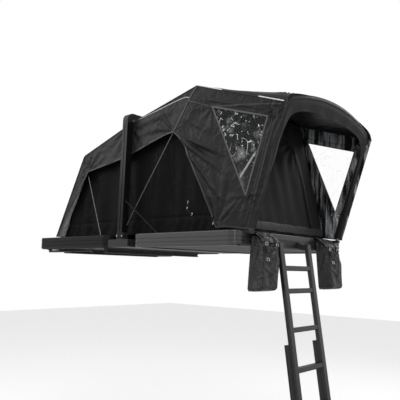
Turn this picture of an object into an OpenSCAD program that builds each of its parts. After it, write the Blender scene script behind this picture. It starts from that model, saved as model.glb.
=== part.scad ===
// Fold-out two-shell rooftop tent, shown pitched.
// Millimetres. +X points to the fold-out side, +Y along the shells, +Z up.
// The pieces are laid out from the middle of the spine at the underside of the
// shells, and place() then moves them so that the origin is on the bolting
// face of the inner mounting rail, halfway along it.

/* [Shells] */
// Length of each shell
shell_len = 1400; // [1200:10:1700]
// Width of each shell
shell_w = 955; // [900:5:1050]
// Height of the extruded shell frame
shell_h = 98; // [80:1:120]
// Wall thickness of the shell frame, from outside to inside
frame_t = 38; // [28:1:50]
// Outside radius of the shell corners
corner_r = 60; // [52:1:90]
// Size of the chamfer under the outer edge
lip = 12; // [4:1:16]
// Radius of the upper outer edge
rim_r = 8; // [3:1:12]
// Depth of the long grooves in the frame
groove_d = 3; // [1:0.5:5]
// Height of one groove
groove_h = 6; // [3:1:9]
// Thickness of the floor panels
floor_t = 25; // [12:1:40]
// Height of the floor panels above the underside of the shells
floor_z = 8; // [2:1:14]

/* [Spine] */
// Width of the spine beam
spine_w = 227; // [180:1:260]
// Height of the spine beam
spine_h = 57; // [40:1:70]
// Gap between the base shell and the spine beam
base_gap = 17; // [15:1:40]
// Gap between the spine beam and the fold-out shell
leaf_gap = 46; // [20:1:70]
// Number of hinges along each side of the spine
hinge_count = 3; // [2:1:5]
// Length of one hinge
hinge_len = 90; // [50:5:140]
// Radius of the hinge barrels
barrel_r = 7; // [5:0.5:9]

/* [Mounting rails] */
// Length of the mounting rails
rail_len = 1100; // [800:10:1150]
// Width of the mounting rails
rail_w = 46; // [30:1:70]
// Height of the mounting rails
rail_h = 32; // [20:1:50]
// Distance between the two mounting rails
rail_pitch = 560; // [400:10:700]

/* [U frame] */
// Height of the U frame above the underside of the shells
u_top = 1035; // [1020:1:1100]
// Width of the U frame's tube
u_w = 56; // [30:1:60]
// Depth of the U frame's tube along the shells
u_d = 56; // [30:1:56]
// Height of the top bar
u_bar = 50; // [30:1:56]
// Outside radius of the top corners
u_r = 55; // [30:1:80]
// Height of the frame's pivots
u_pivot_z = 95; // [90:1:110]
// Lean of the frame to the fold-out side, in degrees
u_lean = 1.2; // [0:0.1:2]

/* [Tent fabric] */
// Thickness of the fabric panels
cloth = 4; // [2:0.5:6]
// Gap between the U frame's legs and the fly's sides
fly_gap = 4; // [3:1:12]
// Distance from the fly's sides in to the tent body's side walls
body_in = 52; // [49:1:60]
// Distance between the tail of the fly and the tail wall
tail_gap = 45; // [20:1:80]
// Height of the ridge above the underside of the shells
ridge_z = 1115; // [1060:5:1180]
// Distance of the ridge from the spine's middle
ridge_x = 705; // [650:5:760]
// Height of the tail's upper corner
tail_z = 779; // [700:1:820]
// Distance of the tail's upper corner from the spine's middle
tail_reach = 569; // [520:1:620]
// Reach of the canopy from the spine's middle
canopy_x = 1410; // [1300:5:1450]
// Height of the canopy's corners
canopy_z = 900; // [850:5:950]
// Rise of the canopy's arch above its corners
canopy_rise = 100; // [60:1:120]
// Drop of the canopy's side edges below its corners
corner_drop = 35; // [20:1:50]
// Height of the rounded shoulders over those edges
shoulder = 55; // [40:1:70]
// Width of the facing that hangs from the canopy hoop
band_w = 94; // [60:2:110]

/* [Poles and rods] */
// Radius of the canopy hoop's tube
hoop_r = 11; // [8:0.5:14]
// Distance from the tent body's side walls in to the canopy hoop's legs
hoop_step = 14; // [12:1:30]
// Radius of the bends at the canopy hoop's top corners
hoop_bend = 60; // [50:5:100]
// Radius of the inner hoops' tubes
pole_r = 10; // [7:0.5:12]
// Radius of the spring steel awning rods
rod_r = 4; // [3:0.5:5]

/* [Ladder] */
// Outside width of the ladder
ladder_w = 396; // [360:2:400]
// Place of the ladder's middle along the shells
ladder_y = -152; // [-156:1:-140]
// Distance of the ladder's pivot from the shell
ladder_off = 78; // [70:1:95]
// Height of the ladder's pivot above the underside of the shells
ladder_z = 10; // [5:1:30]
// Lean of the ladder from the vertical, in degrees
ladder_lean = 8; // [6:0.5:12]
// Length of the upper ladder section below its pivot
upper_len = 1060; // [1050:5:1100]
// Place of the lower section's top end below the pivot
lower_top = 620; // [600:5:700]
// Place of the ladder's feet below the pivot
lower_end = 1690; // [1650:5:1800]
// Width of a ladder rail
side_w = 46; // [30:1:50]
// Depth of a ladder rail
side_d = 30; // [20:1:34]
// Distance between two rungs
rung_step = 245; // [220:5:250]
// Place of the second rung below the pivot
rung_first = 290; // [270:5:300]

/* [Shoe bags] */
// Height of a shoe bag
bag_h = 360; // [300:2:400]
// Depth of a shoe bag at its fullest
bag_d = 124; // [90:1:130]
// Width of a shoe bag
bag_w = 196; // [150:2:200]
// Distance that a bag's bottom hangs aside, away from the ladder
bag_swing = 42; // [0:2:50]
// Gap between the rear bag and the ladder
bag_gap = 12; // [11:1:40]
// Distance from the ladder's middle to the front bag
bag_reach = 400; // [260:5:420]

/* [Hidden] */
$fn = 48;

// Seat clearance between a soft or loose piece and what carries it
seat = 0.3;
// Side clearance between parts that turn on each other
run = 0.8;
// Clearance between the two ladder sections where one slides on the other
slide_fit = 0.3;
// Radial clearance of a pin in its bore
bore_fit = 0.06;
half_len = shell_len / 2;
gap = base_gap + spine_w + leaf_gap;
spine_x0 = -gap / 2 + base_gap;
spine_x1 = spine_x0 + spine_w;
spine_z0 = 5;
spine_top = spine_z0 + spine_h;
base_x = -(gap + shell_w) / 2;
leaf_x = (gap + shell_w) / 2;
shell_out = (gap / 2) + shell_w;
inner_rail_x = base_x + rail_pitch / 2;
outer_rail_x = base_x - rail_pitch / 2;
floor_top = floor_z + floor_t;
tail_x = -tail_reach;
fly_half = half_len - u_d - fly_gap;
body_half = fly_half - body_in;
hoop_half = body_half - hoop_step;

// Everything below is laid out from the spine and moved here onto the mount
module place() {
    translate([-inner_rail_x, 0, rail_h]) children();
}

module both_ends() {
    children();
    mirror([0, 1, 0]) children();
}

// A round bar between two points
module bar(a, b, r) {
    v = b - a;
    len = norm(v);
    turn = atan2(v[1], v[0]);
    tilt = acos(v[2] / len);
    translate(a) rotate([0, tilt, turn]) cylinder(h = len, r = r);
}

// An outline in X and Z, made y0 to y1 long in Y
module xz_slab(points, y0, y1) {
    translate([0, y1, 0]) rotate([90, 0, 0]) linear_extrude(y1 - y0) polygon(points);
}

function arc(cx, cy, r, a0, a1, n) =
    [for (i = [0 : n]) let (a = a0 + (a1 - a0) * i / n) [cx + r * cos(a), cy + r * sin(a)]];

// Shell frame profile: u is outward, z is up
groove_at = [lip + 18, lip + 44, shell_h - rim_r - 8];
function groove_points(z) = [
    [0, z], [-groove_d, z + 1], [-groove_d, z + groove_h - 1], [0, z + groove_h]
];
frame_profile = concat(
    [[-frame_t, 0], [-lip, 0], [0, lip]],
    groove_points(groove_at[0]),
    groove_points(groove_at[1]),
    arc(-rim_r, shell_h - rim_r, rim_r, 0, 90, 6),
    [[-frame_t, shell_h]]
);

module frame_rail(len) {
    translate([0, len / 2, 0]) rotate([90, 0, 0]) linear_extrude(len) polygon(frame_profile);
}

module side_rails(cx) {
    for (turn = [0, 180])
        translate([cx, 0, 0]) rotate([0, 0, turn]) translate([shell_w / 2, 0, 0])
            frame_rail(shell_len - 2 * corner_r);
}

module end_rails(cx) {
    for (turn = [90, 270])
        translate([cx, 0, 0]) rotate([0, 0, turn]) translate([half_len, 0, 0])
            frame_rail(shell_w - 2 * corner_r);
}

module corners(cx) {
    for (i = [0 : 3]) {
        sx = (i == 0 || i == 3) ? 1 : -1;
        sy = i < 2 ? 1 : -1;
        translate([cx + sx * (shell_w / 2 - corner_r), sy * (half_len - corner_r), 0])
            rotate([0, 0, 90 * i]) rotate_extrude(angle = 90)
                translate([corner_r, 0]) polygon(frame_profile);
    }
}

module floor_panel(cx) {
    w = shell_w / 2 - frame_t - seat;
    l = half_len - frame_t - seat;
    r = corner_r - frame_t;
    translate([cx, 0, floor_z]) linear_extrude(floor_t) polygon(concat(
        arc(w - r, l - r, r, 0, 90, 6),
        arc(-w + r, l - r, r, 90, 180, 6),
        arc(-w + r, -l + r, r, 180, 270, 6),
        arc(w - r, -l + r, r, 270, 360, 6)
    ));
}

module base_side_rails() {
    color([0.16, 0.16, 0.17]) place() side_rails(base_x);
}

module base_end_rails() {
    color([0.17, 0.17, 0.18]) place() end_rails(base_x);
}

module base_corners() {
    color([0.2, 0.2, 0.21]) place() corners(base_x);
}

module base_floor() {
    color([0.1, 0.1, 0.11]) place() floor_panel(base_x);
}

module leaf_side_rails() {
    color([0.2, 0.2, 0.21]) place() side_rails(leaf_x);
}

module leaf_end_rails() {
    color([0.22, 0.22, 0.23]) place() end_rails(leaf_x);
}

module leaf_corners() {
    color([0.24, 0.24, 0.25]) place() corners(leaf_x);
}

module leaf_floor() {
    color([0.1, 0.1, 0.11]) place() floor_panel(leaf_x);
}

// Hollow spine extrusion with a groove in each end face's sides
spine_wall = 5;
module spine_beam() {
    mid = (spine_x0 + spine_x1) / 2;
    color([0.15, 0.15, 0.16]) place() difference() {
        xz_slab([
            [spine_x0, spine_z0], [spine_x1, spine_z0],
            [spine_x1, spine_top - rim_r], [spine_x1 - rim_r, spine_top],
            [spine_x0 + rim_r, spine_top], [spine_x0, spine_top - rim_r]
        ], -half_len, half_len);
        for (side = [0, 1])
            translate([side ? spine_x1 - groove_d : spine_x0 - 1, -half_len - 1, spine_z0 + 20])
                cube([groove_d + 1, shell_len + 2, groove_h]);
    }
}

// One hinge: a plate on the shell's side, a barrel and a plate on the spine
hinge_t = 4;
knuckles = 5;
module hinge(x_shell, side) {
    barrel_x = x_shell - side * (hinge_t + barrel_r);
    barrel_z = spine_top + barrel_r - 1;
    plate_end = side > 0 ? spine_x1 - 40 : spine_x0 + 40;
    x_lo = min(x_shell, x_shell - side * hinge_t);
    translate([x_lo, -hinge_len / 2, spine_z0 + 30])
        cube([hinge_t, hinge_len, shell_h - spine_z0 - 40]);
    translate([barrel_x, hinge_len / 2, barrel_z]) rotate([90, 0, 0]) {
        cylinder(h = hinge_len, r = barrel_r - 2);
        for (i = [0 : knuckles - 1]) translate([0, 0, (i + 0.5) * hinge_len / knuckles])
            cylinder(h = hinge_len / knuckles - run, r = barrel_r, center = true);
    }
    translate([min(barrel_x, plate_end), -hinge_len / 2, spine_top])
        cube([abs(barrel_x - plate_end), hinge_len, hinge_t]);
    translate([min(barrel_x, x_shell - side), -hinge_len / 2, barrel_z - 2])
        cube([abs(barrel_x - x_shell + side), hinge_len, 4]);
}

module spine_hinges() {
    pitch = (shell_len - 300) / (hinge_count - 1);
    color([0.3, 0.3, 0.32]) place() for (i = [0 : hinge_count - 1])
        translate([0, (i - (hinge_count - 1) / 2) * pitch, 0]) {
            hinge(-gap / 2, -1);
            hinge(gap / 2, 1);
        }
}

// Mounting rail with a T slot along each side
module mount_rail(cx) {
    slot = 10;
    depth = 8;
    difference() {
        translate([cx - rail_w / 2, -rail_len / 2, -rail_h])
            cube([rail_w, rail_len, rail_h + floor_z]);
        for (side = [-1, 1])
            translate([cx + side * (rail_w / 2 - depth / 2 + 0.5) - depth / 2 - 0.5,
                -rail_len / 2 - 1, -rail_h / 2 - slot / 2])
                cube([depth + 1, rail_len + 2, slot]);
    }
}

module mount_rail_inner() {
    color([0.13, 0.13, 0.14]) place() mount_rail(inner_rail_x);
}

module mount_rail_outer() {
    color([0.13, 0.13, 0.14]) place() mount_rail(outer_rail_x);
}

// Gas strut under each end of the base shell
strut_r = 11;
strut_z = -16;
strut_x0 = base_x - shell_w / 2 + 22;
strut_body = 345;
strut_rod = 270;
module gas_strut() {
    y = -(rail_len / 2 + 50);
    eye_x = strut_x0 + strut_body + strut_rod;
    translate([strut_x0 - 12, y - 16, -5]) cube([30, 32, 5]);
    translate([strut_x0 - 5, y - 5, strut_z - 8]) cube([10, 10, 8 - strut_z]);
    bar([strut_x0, y, strut_z], [strut_x0 + strut_body, y, strut_z], strut_r - 1);
    bar([strut_x0 + strut_body - 1, y, strut_z], [eye_x, y, strut_z], 5);
    translate([eye_x, y + 7, strut_z]) rotate([90, 0, 0]) cylinder(h = 14, r = 12);
    translate([eye_x - 6, y - 7, strut_z]) cube([12, 14, -strut_z]);
    translate([eye_x - 20, y - 16, -4]) cube([40, 32, 4]);
}

module gas_struts() {
    color([0.35, 0.35, 0.37]) place() both_ends() gas_strut();
}

// U frame: two legs, a top bar with rounded corners, and foot brackets
u_out = half_len;
u_in = u_out - u_d;
u_joint = u_top - u_bar - 45;
u_bolt_r = 6;
module u_lean_about_pivot() {
    translate([0, 0, u_pivot_z]) rotate([0, u_lean, 0]) translate([0, 0, -u_pivot_z]) children();
}

u_foot_z = u_pivot_z - 22;
u_slot = 6;

// The frame's outline at a given distance inside its outer edge, from foot to foot
function u_path(inset) = concat(
    [[-u_out + inset, u_foot_z]],
    arc(-u_out + u_r, u_top - u_r, u_r - inset, 180, 90, 8),
    arc(u_out - u_r, u_top - u_r, u_r - inset, 90, 0, 8),
    [[u_out - inset, u_foot_z]]
);
function turned(points) = [for (i = [len(points) - 1 : -1 : 0]) points[i]];

// The whole frame as one bent extrusion, with a groove along both faces
module u_frame() {
    r_in = max(u_r - u_bar, 5);
    inside = concat(
        [[u_in, u_foot_z]],
        arc(u_in - r_in, u_top - u_bar - r_in, r_in, 0, 90, 4),
        arc(-u_in + r_in, u_top - u_bar - r_in, r_in, 90, 180, 4),
        [[-u_in, u_foot_z]]
    );
    slot_in = (u_d - u_slot) / 2;
    rotate([90, 0, 90]) difference() {
        translate([0, 0, -u_w / 2]) linear_extrude(u_w) polygon(concat(u_path(0), inside));
        for (face = [-u_w / 2 - 1, u_w / 2 - groove_d])
            translate([0, 0, face]) linear_extrude(groove_d + 1)
                polygon(concat(u_path(slot_in), turned(u_path(slot_in + u_slot))));
    }
}

// Everything below or above the height where the legs meet the top
module below_joint() {
    translate([-u_w, -u_out - 10, u_foot_z - 10]) cube([2 * u_w, 2 * u_out + 20, u_joint - u_foot_z + 10]);
}

module u_frame_legs() {
    color([0.14, 0.14, 0.15]) place() u_lean_about_pivot() difference() {
        intersection() {
            u_frame();
            below_joint();
        }
        both_ends() {
            translate([-u_slot / 2, -u_out - 1, u_pivot_z + 30]) cube([u_slot, groove_d + 1, u_joint]);
            translate([-u_w, -u_out + u_d / 2, u_pivot_z]) rotate([0, 90, 0])
                cylinder(h = 2 * u_w, r = u_bolt_r + seat);
        }
    }
}

module u_frame_top() {
    color([0.16, 0.16, 0.17]) place() u_lean_about_pivot() difference() {
        u_frame();
        below_joint();
    }
}

module u_foot() {
    ear = 6;
    ear_x = u_w / 2 + 2;
    translate([-ear_x - ear, -u_out + 2, spine_top]) cube([2 * (ear_x + ear), u_d - 4, ear]);
    for (side = [-1, 1])
        translate([side * (ear_x + ear / 2) - ear / 2, -u_out + 2, spine_top])
            cube([ear, u_d - 4, u_pivot_z - spine_top + 18]);
    u_lean_about_pivot() translate([-ear_x - ear - 6, -u_out + u_d / 2, u_pivot_z])
        rotate([0, 90, 0]) cylinder(h = 2 * (ear_x + ear + 6), r = u_bolt_r);
}

module u_frame_feet() {
    color([0.25, 0.25, 0.27]) place() both_ends() u_foot();
}

// Flat stays from the fold-out shell's rim to the U frame's legs
stay_y = -(half_len - frame_t / 2);
stay_z = 350;
stay_reach = 240;
stay_r = 5;
clip_h = 24;
clip_t = 5;
module frame_stay() {
    leg_face = u_w / 2 + tan(u_lean) * (stay_z + clip_h - u_pivot_z) + seat;
    foot = [gap / 2 + stay_reach, stay_y, shell_h + clip_t];
    bar(foot, [leg_face + clip_t, stay_y, stay_z], stay_r);
    translate([leg_face, stay_y - stay_r - 2, stay_z - clip_h / 2])
        cube([2 * clip_t, 2 * stay_r + 4, clip_h]);
    translate([foot[0] - clip_h / 2, stay_y - stay_r - 2, shell_h])
        cube([clip_h, 2 * stay_r + 4, 2 * clip_t]);
}

module frame_stays() {
    color([0.5, 0.5, 0.52]) place() both_ends() frame_stay();
}

// Inner hoops that carry the ridge and the tail of the fly
hoop_in = body_half - cloth - pole_r - 10;
module hoop_leg(foot_x, top_x, top_z) {
    difference() {
        bar([foot_x, -hoop_in, floor_top], [top_x, -hoop_in, top_z - 2 * pole_r], pole_r);
        translate([foot_x - 50, -hoop_in - 50, floor_top + seat - 100]) cube(100);
    }
}

module hoop_top(x, z) {
    translate([x, body_half - cloth - seat, z - pole_r]) rotate([90, 0, 0])
        cylinder(h = 2 * (body_half - cloth - seat), r = pole_r);
}
ridge_in = [ridge_x - 8, ridge_z - cloth - 6];
ridge_foot_x = 430;
tail_in = [tail_x + 62, tail_z - cloth - 6];
tail_foot_x = -400;

module ridge_hoop_legs() {
    color([0.45, 0.45, 0.47]) place() both_ends()
        hoop_leg(ridge_foot_x, ridge_in[0], ridge_in[1] - 2);
}

module ridge_hoop_top() {
    color([0.45, 0.45, 0.47]) place() hoop_top(ridge_in[0], ridge_in[1]);
}

module tail_hoop_legs() {
    color([0.45, 0.45, 0.47]) place() both_ends()
        hoop_leg(tail_foot_x, tail_in[0], tail_in[1] - 2);
}

module tail_hoop_top() {
    color([0.45, 0.45, 0.47]) place() hoop_top(tail_in[0], tail_in[1]);
}

// Fly profile in X and Z: tail foot, tail top, knee over the U frame, ridge, canopy
tail_foot = [-(shell_out - 179), shell_h + 13];
knee = [0, 957];
canopy_corner = [canopy_x, canopy_z - corner_drop];
fly_profile = [tail_foot, [tail_x, tail_z], knee, [ridge_x, ridge_z], canopy_corner];

// Inner edge of a panel at each point of the profile, at the mitre of its neighbours
function unit(v) = v / norm(v);
function left_of(v) = [v[1], -v[0]];
function mitre(p, i, d) =
    let (
        before = unit(p[i] - p[max(i - 1, 0)] + (i == 0 ? p[1] - p[0] : [0, 0])),
        after = unit(p[min(i + 1, len(p) - 1)] - p[i] + (i == len(p) - 1 ? p[i] - p[i - 1] : [0, 0])),
        n0 = left_of(before),
        n1 = left_of(after),
        m = unit(n0 + n1)
    ) p[i] + m * (d / (m * n0));
function panel(i, d) =
    [fly_profile[i], fly_profile[i + 1], mitre(fly_profile, i + 1, d), mitre(fly_profile, i, d)];

module roof_panel(i) {
    half = fly_half - cloth;
    xz_slab(panel(i, cloth), -half, half);
}

module fly_tail() {
    color([0.22, 0.22, 0.23]) place() roof_panel(0);
}

module fly_roof_low() {
    color([0.24, 0.24, 0.25]) place() roof_panel(1);
}

module fly_roof_high() {
    color([0.26, 0.26, 0.27]) place() roof_panel(2);
}

// The wings are planes that close in from the seam towards the canopy hoop
hoop_foot = [shell_out + 22, shell_h];
seam_foot = [483, 822];
seam_dir = unit([ridge_x, ridge_z] - seam_foot);
seam_out = left_of(seam_dir);
wing_taper = 0.052;
function wing_y(p) = fly_half - wing_taper * ((p - seam_foot) * seam_out);

// A flat panel whose distance from the middle plane follows wing_y
module wing_panel(points, inset, t) {
    n = len(points);
    outer = [for (p = points) [p[0], -(wing_y(p) - inset), p[1]]];
    inner = [for (p = points) [p[0], -(wing_y(p) - inset - t), p[1]]];
    polyhedron(
        points = concat(outer, inner),
        faces = concat(
            [[for (i = [0 : n - 1]) i]],
            [[for (i = [n - 1 : -1 : 0]) n + i]],
            [for (i = [0 : n - 1]) [n + i, n + (i + 1) % n, (i + 1) % n, i]]
        )
    );
}

// Canopy roof: a loft from the straight ridge to the hoop's arch and round shoulders
roof_u = 6;
roof_v = 20;
crown = canopy_rise + corner_drop - shoulder;
function roof_point(i, j, drop) =
    let (
        u = i / roof_u,
        v = sin(180 * j / roof_v - 90),
        x = ridge_x + u * (canopy_x - ridge_x),
        edge = ridge_z + u * (canopy_corner[1] - ridge_z),
        half = wing_y([x, edge - cloth]) - cloth - seat,
        arch = shoulder * sqrt(1 - pow(v, 20)) + crown * (1 - v * v)
    ) [x, v * half, edge + u * arch - drop];

module fly_canopy_roof() {
    cols = roof_v + 1;
    count = (roof_u + 1) * cols;
    top = [for (i = [0 : roof_u], j = [0 : roof_v]) roof_point(i, j, 0)];
    under = [for (i = [0 : roof_u], j = [0 : roof_v]) roof_point(i, j, cloth)];
    quads_top = [for (i = [0 : roof_u - 1], j = [0 : roof_v - 1])
        let (a = i * cols + j) each [[a, a + 1, a + cols], [a + 1, a + cols + 1, a + cols]]];
    quads_under = [for (q = quads_top) [q[2] + count, q[1] + count, q[0] + count]];
    rim = concat(
        [for (j = [0 : roof_v]) j],
        [for (i = [1 : roof_u]) i * cols + roof_v],
        [for (j = [roof_v - 1 : -1 : 0]) roof_u * cols + j],
        [for (i = [roof_u - 1 : -1 : 1]) i * cols]
    );
    m = len(rim);
    sides = [for (k = [0 : m - 1]) let (a = rim[k], b = rim[(k + 1) % m])
        each [[a, b + count, b], [a, a + count, b + count]]];
    color([0.27, 0.27, 0.28]) place()
        polyhedron(points = concat(top, under), faces = concat(quads_top, quads_under, sides));
}

// Valance: the band over the tent body's side
valance_edge = [
    [402, 813], [246, 777], [-34, 707], [-503, 641], [-650, 391], tail_foot + [90, 14]
];
module fly_valance() {
    xz_slab(concat(
        [fly_profile[0], fly_profile[1], fly_profile[2], fly_profile[3], seam_foot],
        valance_edge
    ), -fly_half, -fly_half + cloth);
}

module fly_rear_valance() {
    color([0.23, 0.23, 0.24]) place() fly_valance();
}

module fly_front_valance() {
    color([0.23, 0.23, 0.24]) place() mirror([0, 1, 0]) fly_valance();
}

// Wing: from the seam to the canopy hoop, with a triangular window
wing_edge = [
    [ridge_x, ridge_z], canopy_corner, hoop_foot + [66, 18],
    [shell_out - 10, shell_h + 40], [shell_out - 154, shell_h + 59],
    [shell_out - 237, shell_h + 37], [752, 380], [656, 562], [555, 752], seam_foot
];
window_edge = [[836, 940], [1268, 800], [1098, 318]];
window_fit = [[837.5, 938.5], [1266.4, 799.4], [1098, 321]];
module wing() {
    difference() {
        wing_panel(wing_edge, 0, cloth);
        xz_slab(window_edge, -fly_half - 60, -fly_half + 100);
    }
}

module fly_rear_wing() {
    color([0.25, 0.25, 0.26]) place() wing();
}

module fly_front_wing() {
    color([0.25, 0.25, 0.26]) place() mirror([0, 1, 0]) wing();
}

module side_windows() {
    color([0.5, 0.55, 0.57, 0.4]) place() both_ends()
        wing_panel(window_fit, cloth / 4, cloth / 2);
}

// Tent body under the fly
tail_step = (tail_x - tail_foot[0]) / (tail_z - tail_foot[1]);
roof_slope_low = (knee[1] - tail_z) / (knee[0] - tail_x);
under = mitre(fly_profile, 2, cloth + seat);
wall_foot = floor_top + seat;
tail_wall_foot = [tail_foot[0] + tail_gap + (wall_foot - tail_foot[1]) * tail_step, wall_foot];
// Height where the tail wall meets the underside of the low roof panel
function tail_meet(d) =
    let (
        foot = [tail_wall_foot[0] + d, wall_foot],
        line_z0 = under[1] - roof_slope_low * (under[0] - foot[0])
    ) foot + ((line_z0 - foot[1]) / (1 - roof_slope_low * tail_step)) * [tail_step, 1];
door_in = 85;
door_foot = [shell_out - door_in, wall_foot];
door_top_x = 790;
sill_x = gap / 2 + frame_t + seat;
sill_z = shell_h + seat;
function roof_under(x) = ridge_z - cloth - seat
    + (x - ridge_x) / (canopy_x - ridge_x) * (canopy_corner[1] - ridge_z);
door_top = [door_top_x, roof_under(door_top_x)];
ridge_under = mitre(fly_profile, 3, cloth + seat);

module body_side_wall() {
    xz_slab([
        tail_wall_foot, tail_meet(0), under, ridge_under, door_top, door_foot,
        [sill_x, wall_foot], [sill_x, sill_z], [-sill_x, sill_z], [-sill_x, wall_foot]
    ], -body_half, -body_half + cloth);
}

module body_rear_wall() {
    color([0.08, 0.08, 0.09]) place() body_side_wall();
}

module body_front_wall() {
    color([0.08, 0.08, 0.09]) place() mirror([0, 1, 0]) body_side_wall();
}

module body_tail_wall() {
    half = body_half - cloth;
    color([0.08, 0.08, 0.09]) place()
        xz_slab([tail_wall_foot, tail_meet(0), tail_meet(cloth), tail_wall_foot + [cloth, 0]],
            -half, half);
}

module body_door_wall() {
    half = body_half - cloth;
    color([0.09, 0.09, 0.1]) place()
        xz_slab([
            door_foot, door_top, [door_top_x - cloth, roof_under(door_top_x)],
            door_foot - [cloth, 0]
        ], -half, half);
}

// Canopy hoop, laid out upright and leaned out from its feet
hoop_head = [canopy_x - 26, canopy_z - 6];
hoop_lean = atan2(hoop_head[0] - hoop_foot[0], hoop_head[1] - hoop_foot[1]);
hoop_len = norm(hoop_head - hoop_foot);
hoop_rise = canopy_rise - 6;
arch_r = (pow(hoop_half, 2) + pow(hoop_rise, 2)) / (2 * hoop_rise);
arch_z = hoop_len + hoop_rise - arch_r;
// Where the bend meets the arch and the leg
arch_a = asin((hoop_half - hoop_bend) / (arch_r - hoop_bend));
hoop_joint = arch_z + (arch_r - hoop_bend) * cos(arch_a);
module at_hoop() {
    translate([hoop_foot[0], 0, hoop_foot[1]]) rotate([0, hoop_lean, 0]) children();
}

module canopy_hoop_legs() {
    color([0.4, 0.4, 0.42]) place() both_ends() difference() {
        at_hoop() translate([0, -hoop_half, -30]) cylinder(h = hoop_joint + 30, r = hoop_r);
        translate([hoop_foot[0] - 100, -hoop_half - 100, shell_h - 200 + seat])
            cube([200, 200, 200]);
    }
}

// Arc as pairs of a point and the outward direction there, without its first point
function arc_stations(cy, cz, r, a0, a1, n) =
    [for (i = [1 : n]) let (a = a0 + (a1 - a0) * i / n, d = [cos(a), sin(a)]) [[cy, cz] + r * d, d]];

// The hoop's top: a circle carried round a bend, the arch and the other bend
hoop_sides = 20;
module canopy_hoop_top() {
    bend_y = hoop_half - hoop_bend;
    stations = concat(
        [[[hoop_half, hoop_joint], [1, 0]]],
        arc_stations(bend_y, hoop_joint, hoop_bend, 0, 90 - arch_a, 8),
        arc_stations(0, arch_z, arch_r, 90 - arch_a, 90 + arch_a, 20),
        arc_stations(-bend_y, hoop_joint, hoop_bend, 90 + arch_a, 180, 8)
    );
    last = len(stations) - 1;
    function at(i, j) = i * hoop_sides + j % hoop_sides;
    rings = [for (s = stations, j = [0 : hoop_sides - 1])
        let (t = 360 * j / hoop_sides, p = s[0] + hoop_r * cos(t) * s[1])
            [hoop_r * sin(t), p[0], p[1]]];
    color([0.4, 0.4, 0.42]) place() at_hoop() polyhedron(
        points = rings,
        faces = concat(
            [[for (j = [0 : hoop_sides - 1]) at(0, j)]],
            [[for (j = [hoop_sides - 1 : -1 : 0]) at(last, j)]],
            [for (i = [0 : last - 1], j = [0 : hoop_sides - 1])
                [at(i, j), at(i + 1, j), at(i + 1, j + 1), at(i, j + 1)]]
        )
    );
}

// Brackets on the shell's rim that hold the hoop's feet
hoop_seat = 20;
module canopy_hoop_feet() {
    color([0.25, 0.25, 0.27]) place() both_ends()
        translate([shell_out, -hoop_half - 16, shell_h - hoop_seat]) cube([38, 32, hoop_seat]);
}

// Leg top, bend, arch, bend and leg top, at a given distance from the middle
function hoop_path(half, bend, radius) =
    let (
        bend_y = half - bend,
        a = asin(bend_y / (radius - bend)),
        joint = arch_z + (radius - bend) * cos(a)
    ) concat(
        arc(bend_y, joint, bend, 0, 90 - a, 8),
        arc(0, arch_z, radius, 90 - a, 90 + a, 20),
        arc(-bend_y, joint, bend, 90 + a, 180, 8)
    );

// Facing: wide inside the arch, narrow down the legs
facing_foot = 40;
facing_leg = 30;
facing_bend = 110;
module canopy_band() {
    half = hoop_half + hoop_r;
    hem = half - facing_leg;
    outer = hoop_path(half, hoop_bend + hoop_r, arch_r + hoop_r);
    inner = hoop_path(hem, facing_bend, arch_r - band_w);
    color([0.2, 0.18, 0.2]) place() at_hoop() translate([hoop_r + seat, 0, 0])
        rotate([90, 0, 90]) linear_extrude(cloth) polygon(concat(
            [[half, facing_foot]], outer, [[-half, facing_foot], [-hem, facing_foot]],
            [for (i = [len(inner) - 1 : -1 : 0]) inner[i]],
            [[hem, facing_foot]]
        ));
}

// Spring steel rods that hold the valance's corners out
rim_y = -(half_len - 0.75 * frame_t);
rod_tuck = 12;
tip_y = -(fly_half - cloth - rod_r - rod_tuck);
rod_foot_z = 168;
rod_lean = atan2(seam_foot[0] - u_w / 2, seam_foot[1] - rod_foot_z);
leg_side = u_w / 2 + tan(u_lean) * (rod_foot_z - u_pivot_z) + rod_r * cos(rod_lean) + seat;
module awning_rod_pair() {
    tail_corner = valance_edge[3];
    bar([-gap / 2 - 113, rim_y, shell_h + seat + 2], [tail_corner[0] - 45, tip_y, tail_corner[1] + 21],
        rod_r);
    bar([leg_side, -fly_half - 20, rod_foot_z], [seam_foot[0] - 5, tip_y, seam_foot[1] + 24], rod_r);
}

module awning_rods() {
    color([0.55, 0.55, 0.57]) place() both_ends() awning_rod_pair();
}

// Ladder, laid out hanging straight down from its pivot and leaned out
pivot = [shell_out + ladder_off, ladder_z];
pin_r = 6;
lower_x = -side_d - slide_fit;
rail_mid = (ladder_w - side_w) / 2;
module at_ladder() {
    translate([pivot[0], ladder_y, pivot[1]]) rotate([0, -ladder_lean, 0]) children();
}

// Rail section: u runs along the ladder's width, v along its depth; a slot opens outwards
rail_slot = 14;
rail_edge = 4;
function rail_section(v0) = [
    [-side_w / 2, v0 + rail_edge], [-side_w / 2 + rail_edge, v0],
    [side_w / 2 - rail_edge, v0], [side_w / 2, v0 + rail_edge],
    [side_w / 2, v0 + (side_d - rail_slot) / 2], [side_w / 2 - groove_d, v0 + (side_d - rail_slot) / 2],
    [side_w / 2 - groove_d, v0 + (side_d + rail_slot) / 2], [side_w / 2, v0 + (side_d + rail_slot) / 2],
    [side_w / 2, v0 + side_d - rail_edge], [side_w / 2 - rail_edge, v0 + side_d],
    [-side_w / 2 + rail_edge, v0 + side_d], [-side_w / 2, v0 + side_d - rail_edge]
];

module ladder_side(x, top, bottom) {
    for (turn = [0, 1]) mirror([0, turn, 0])
        translate([0, rail_mid, -bottom]) linear_extrude(bottom - top)
            polygon([for (p = rail_section(x - side_d / 2)) [p[1], p[0]]]);
}

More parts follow.
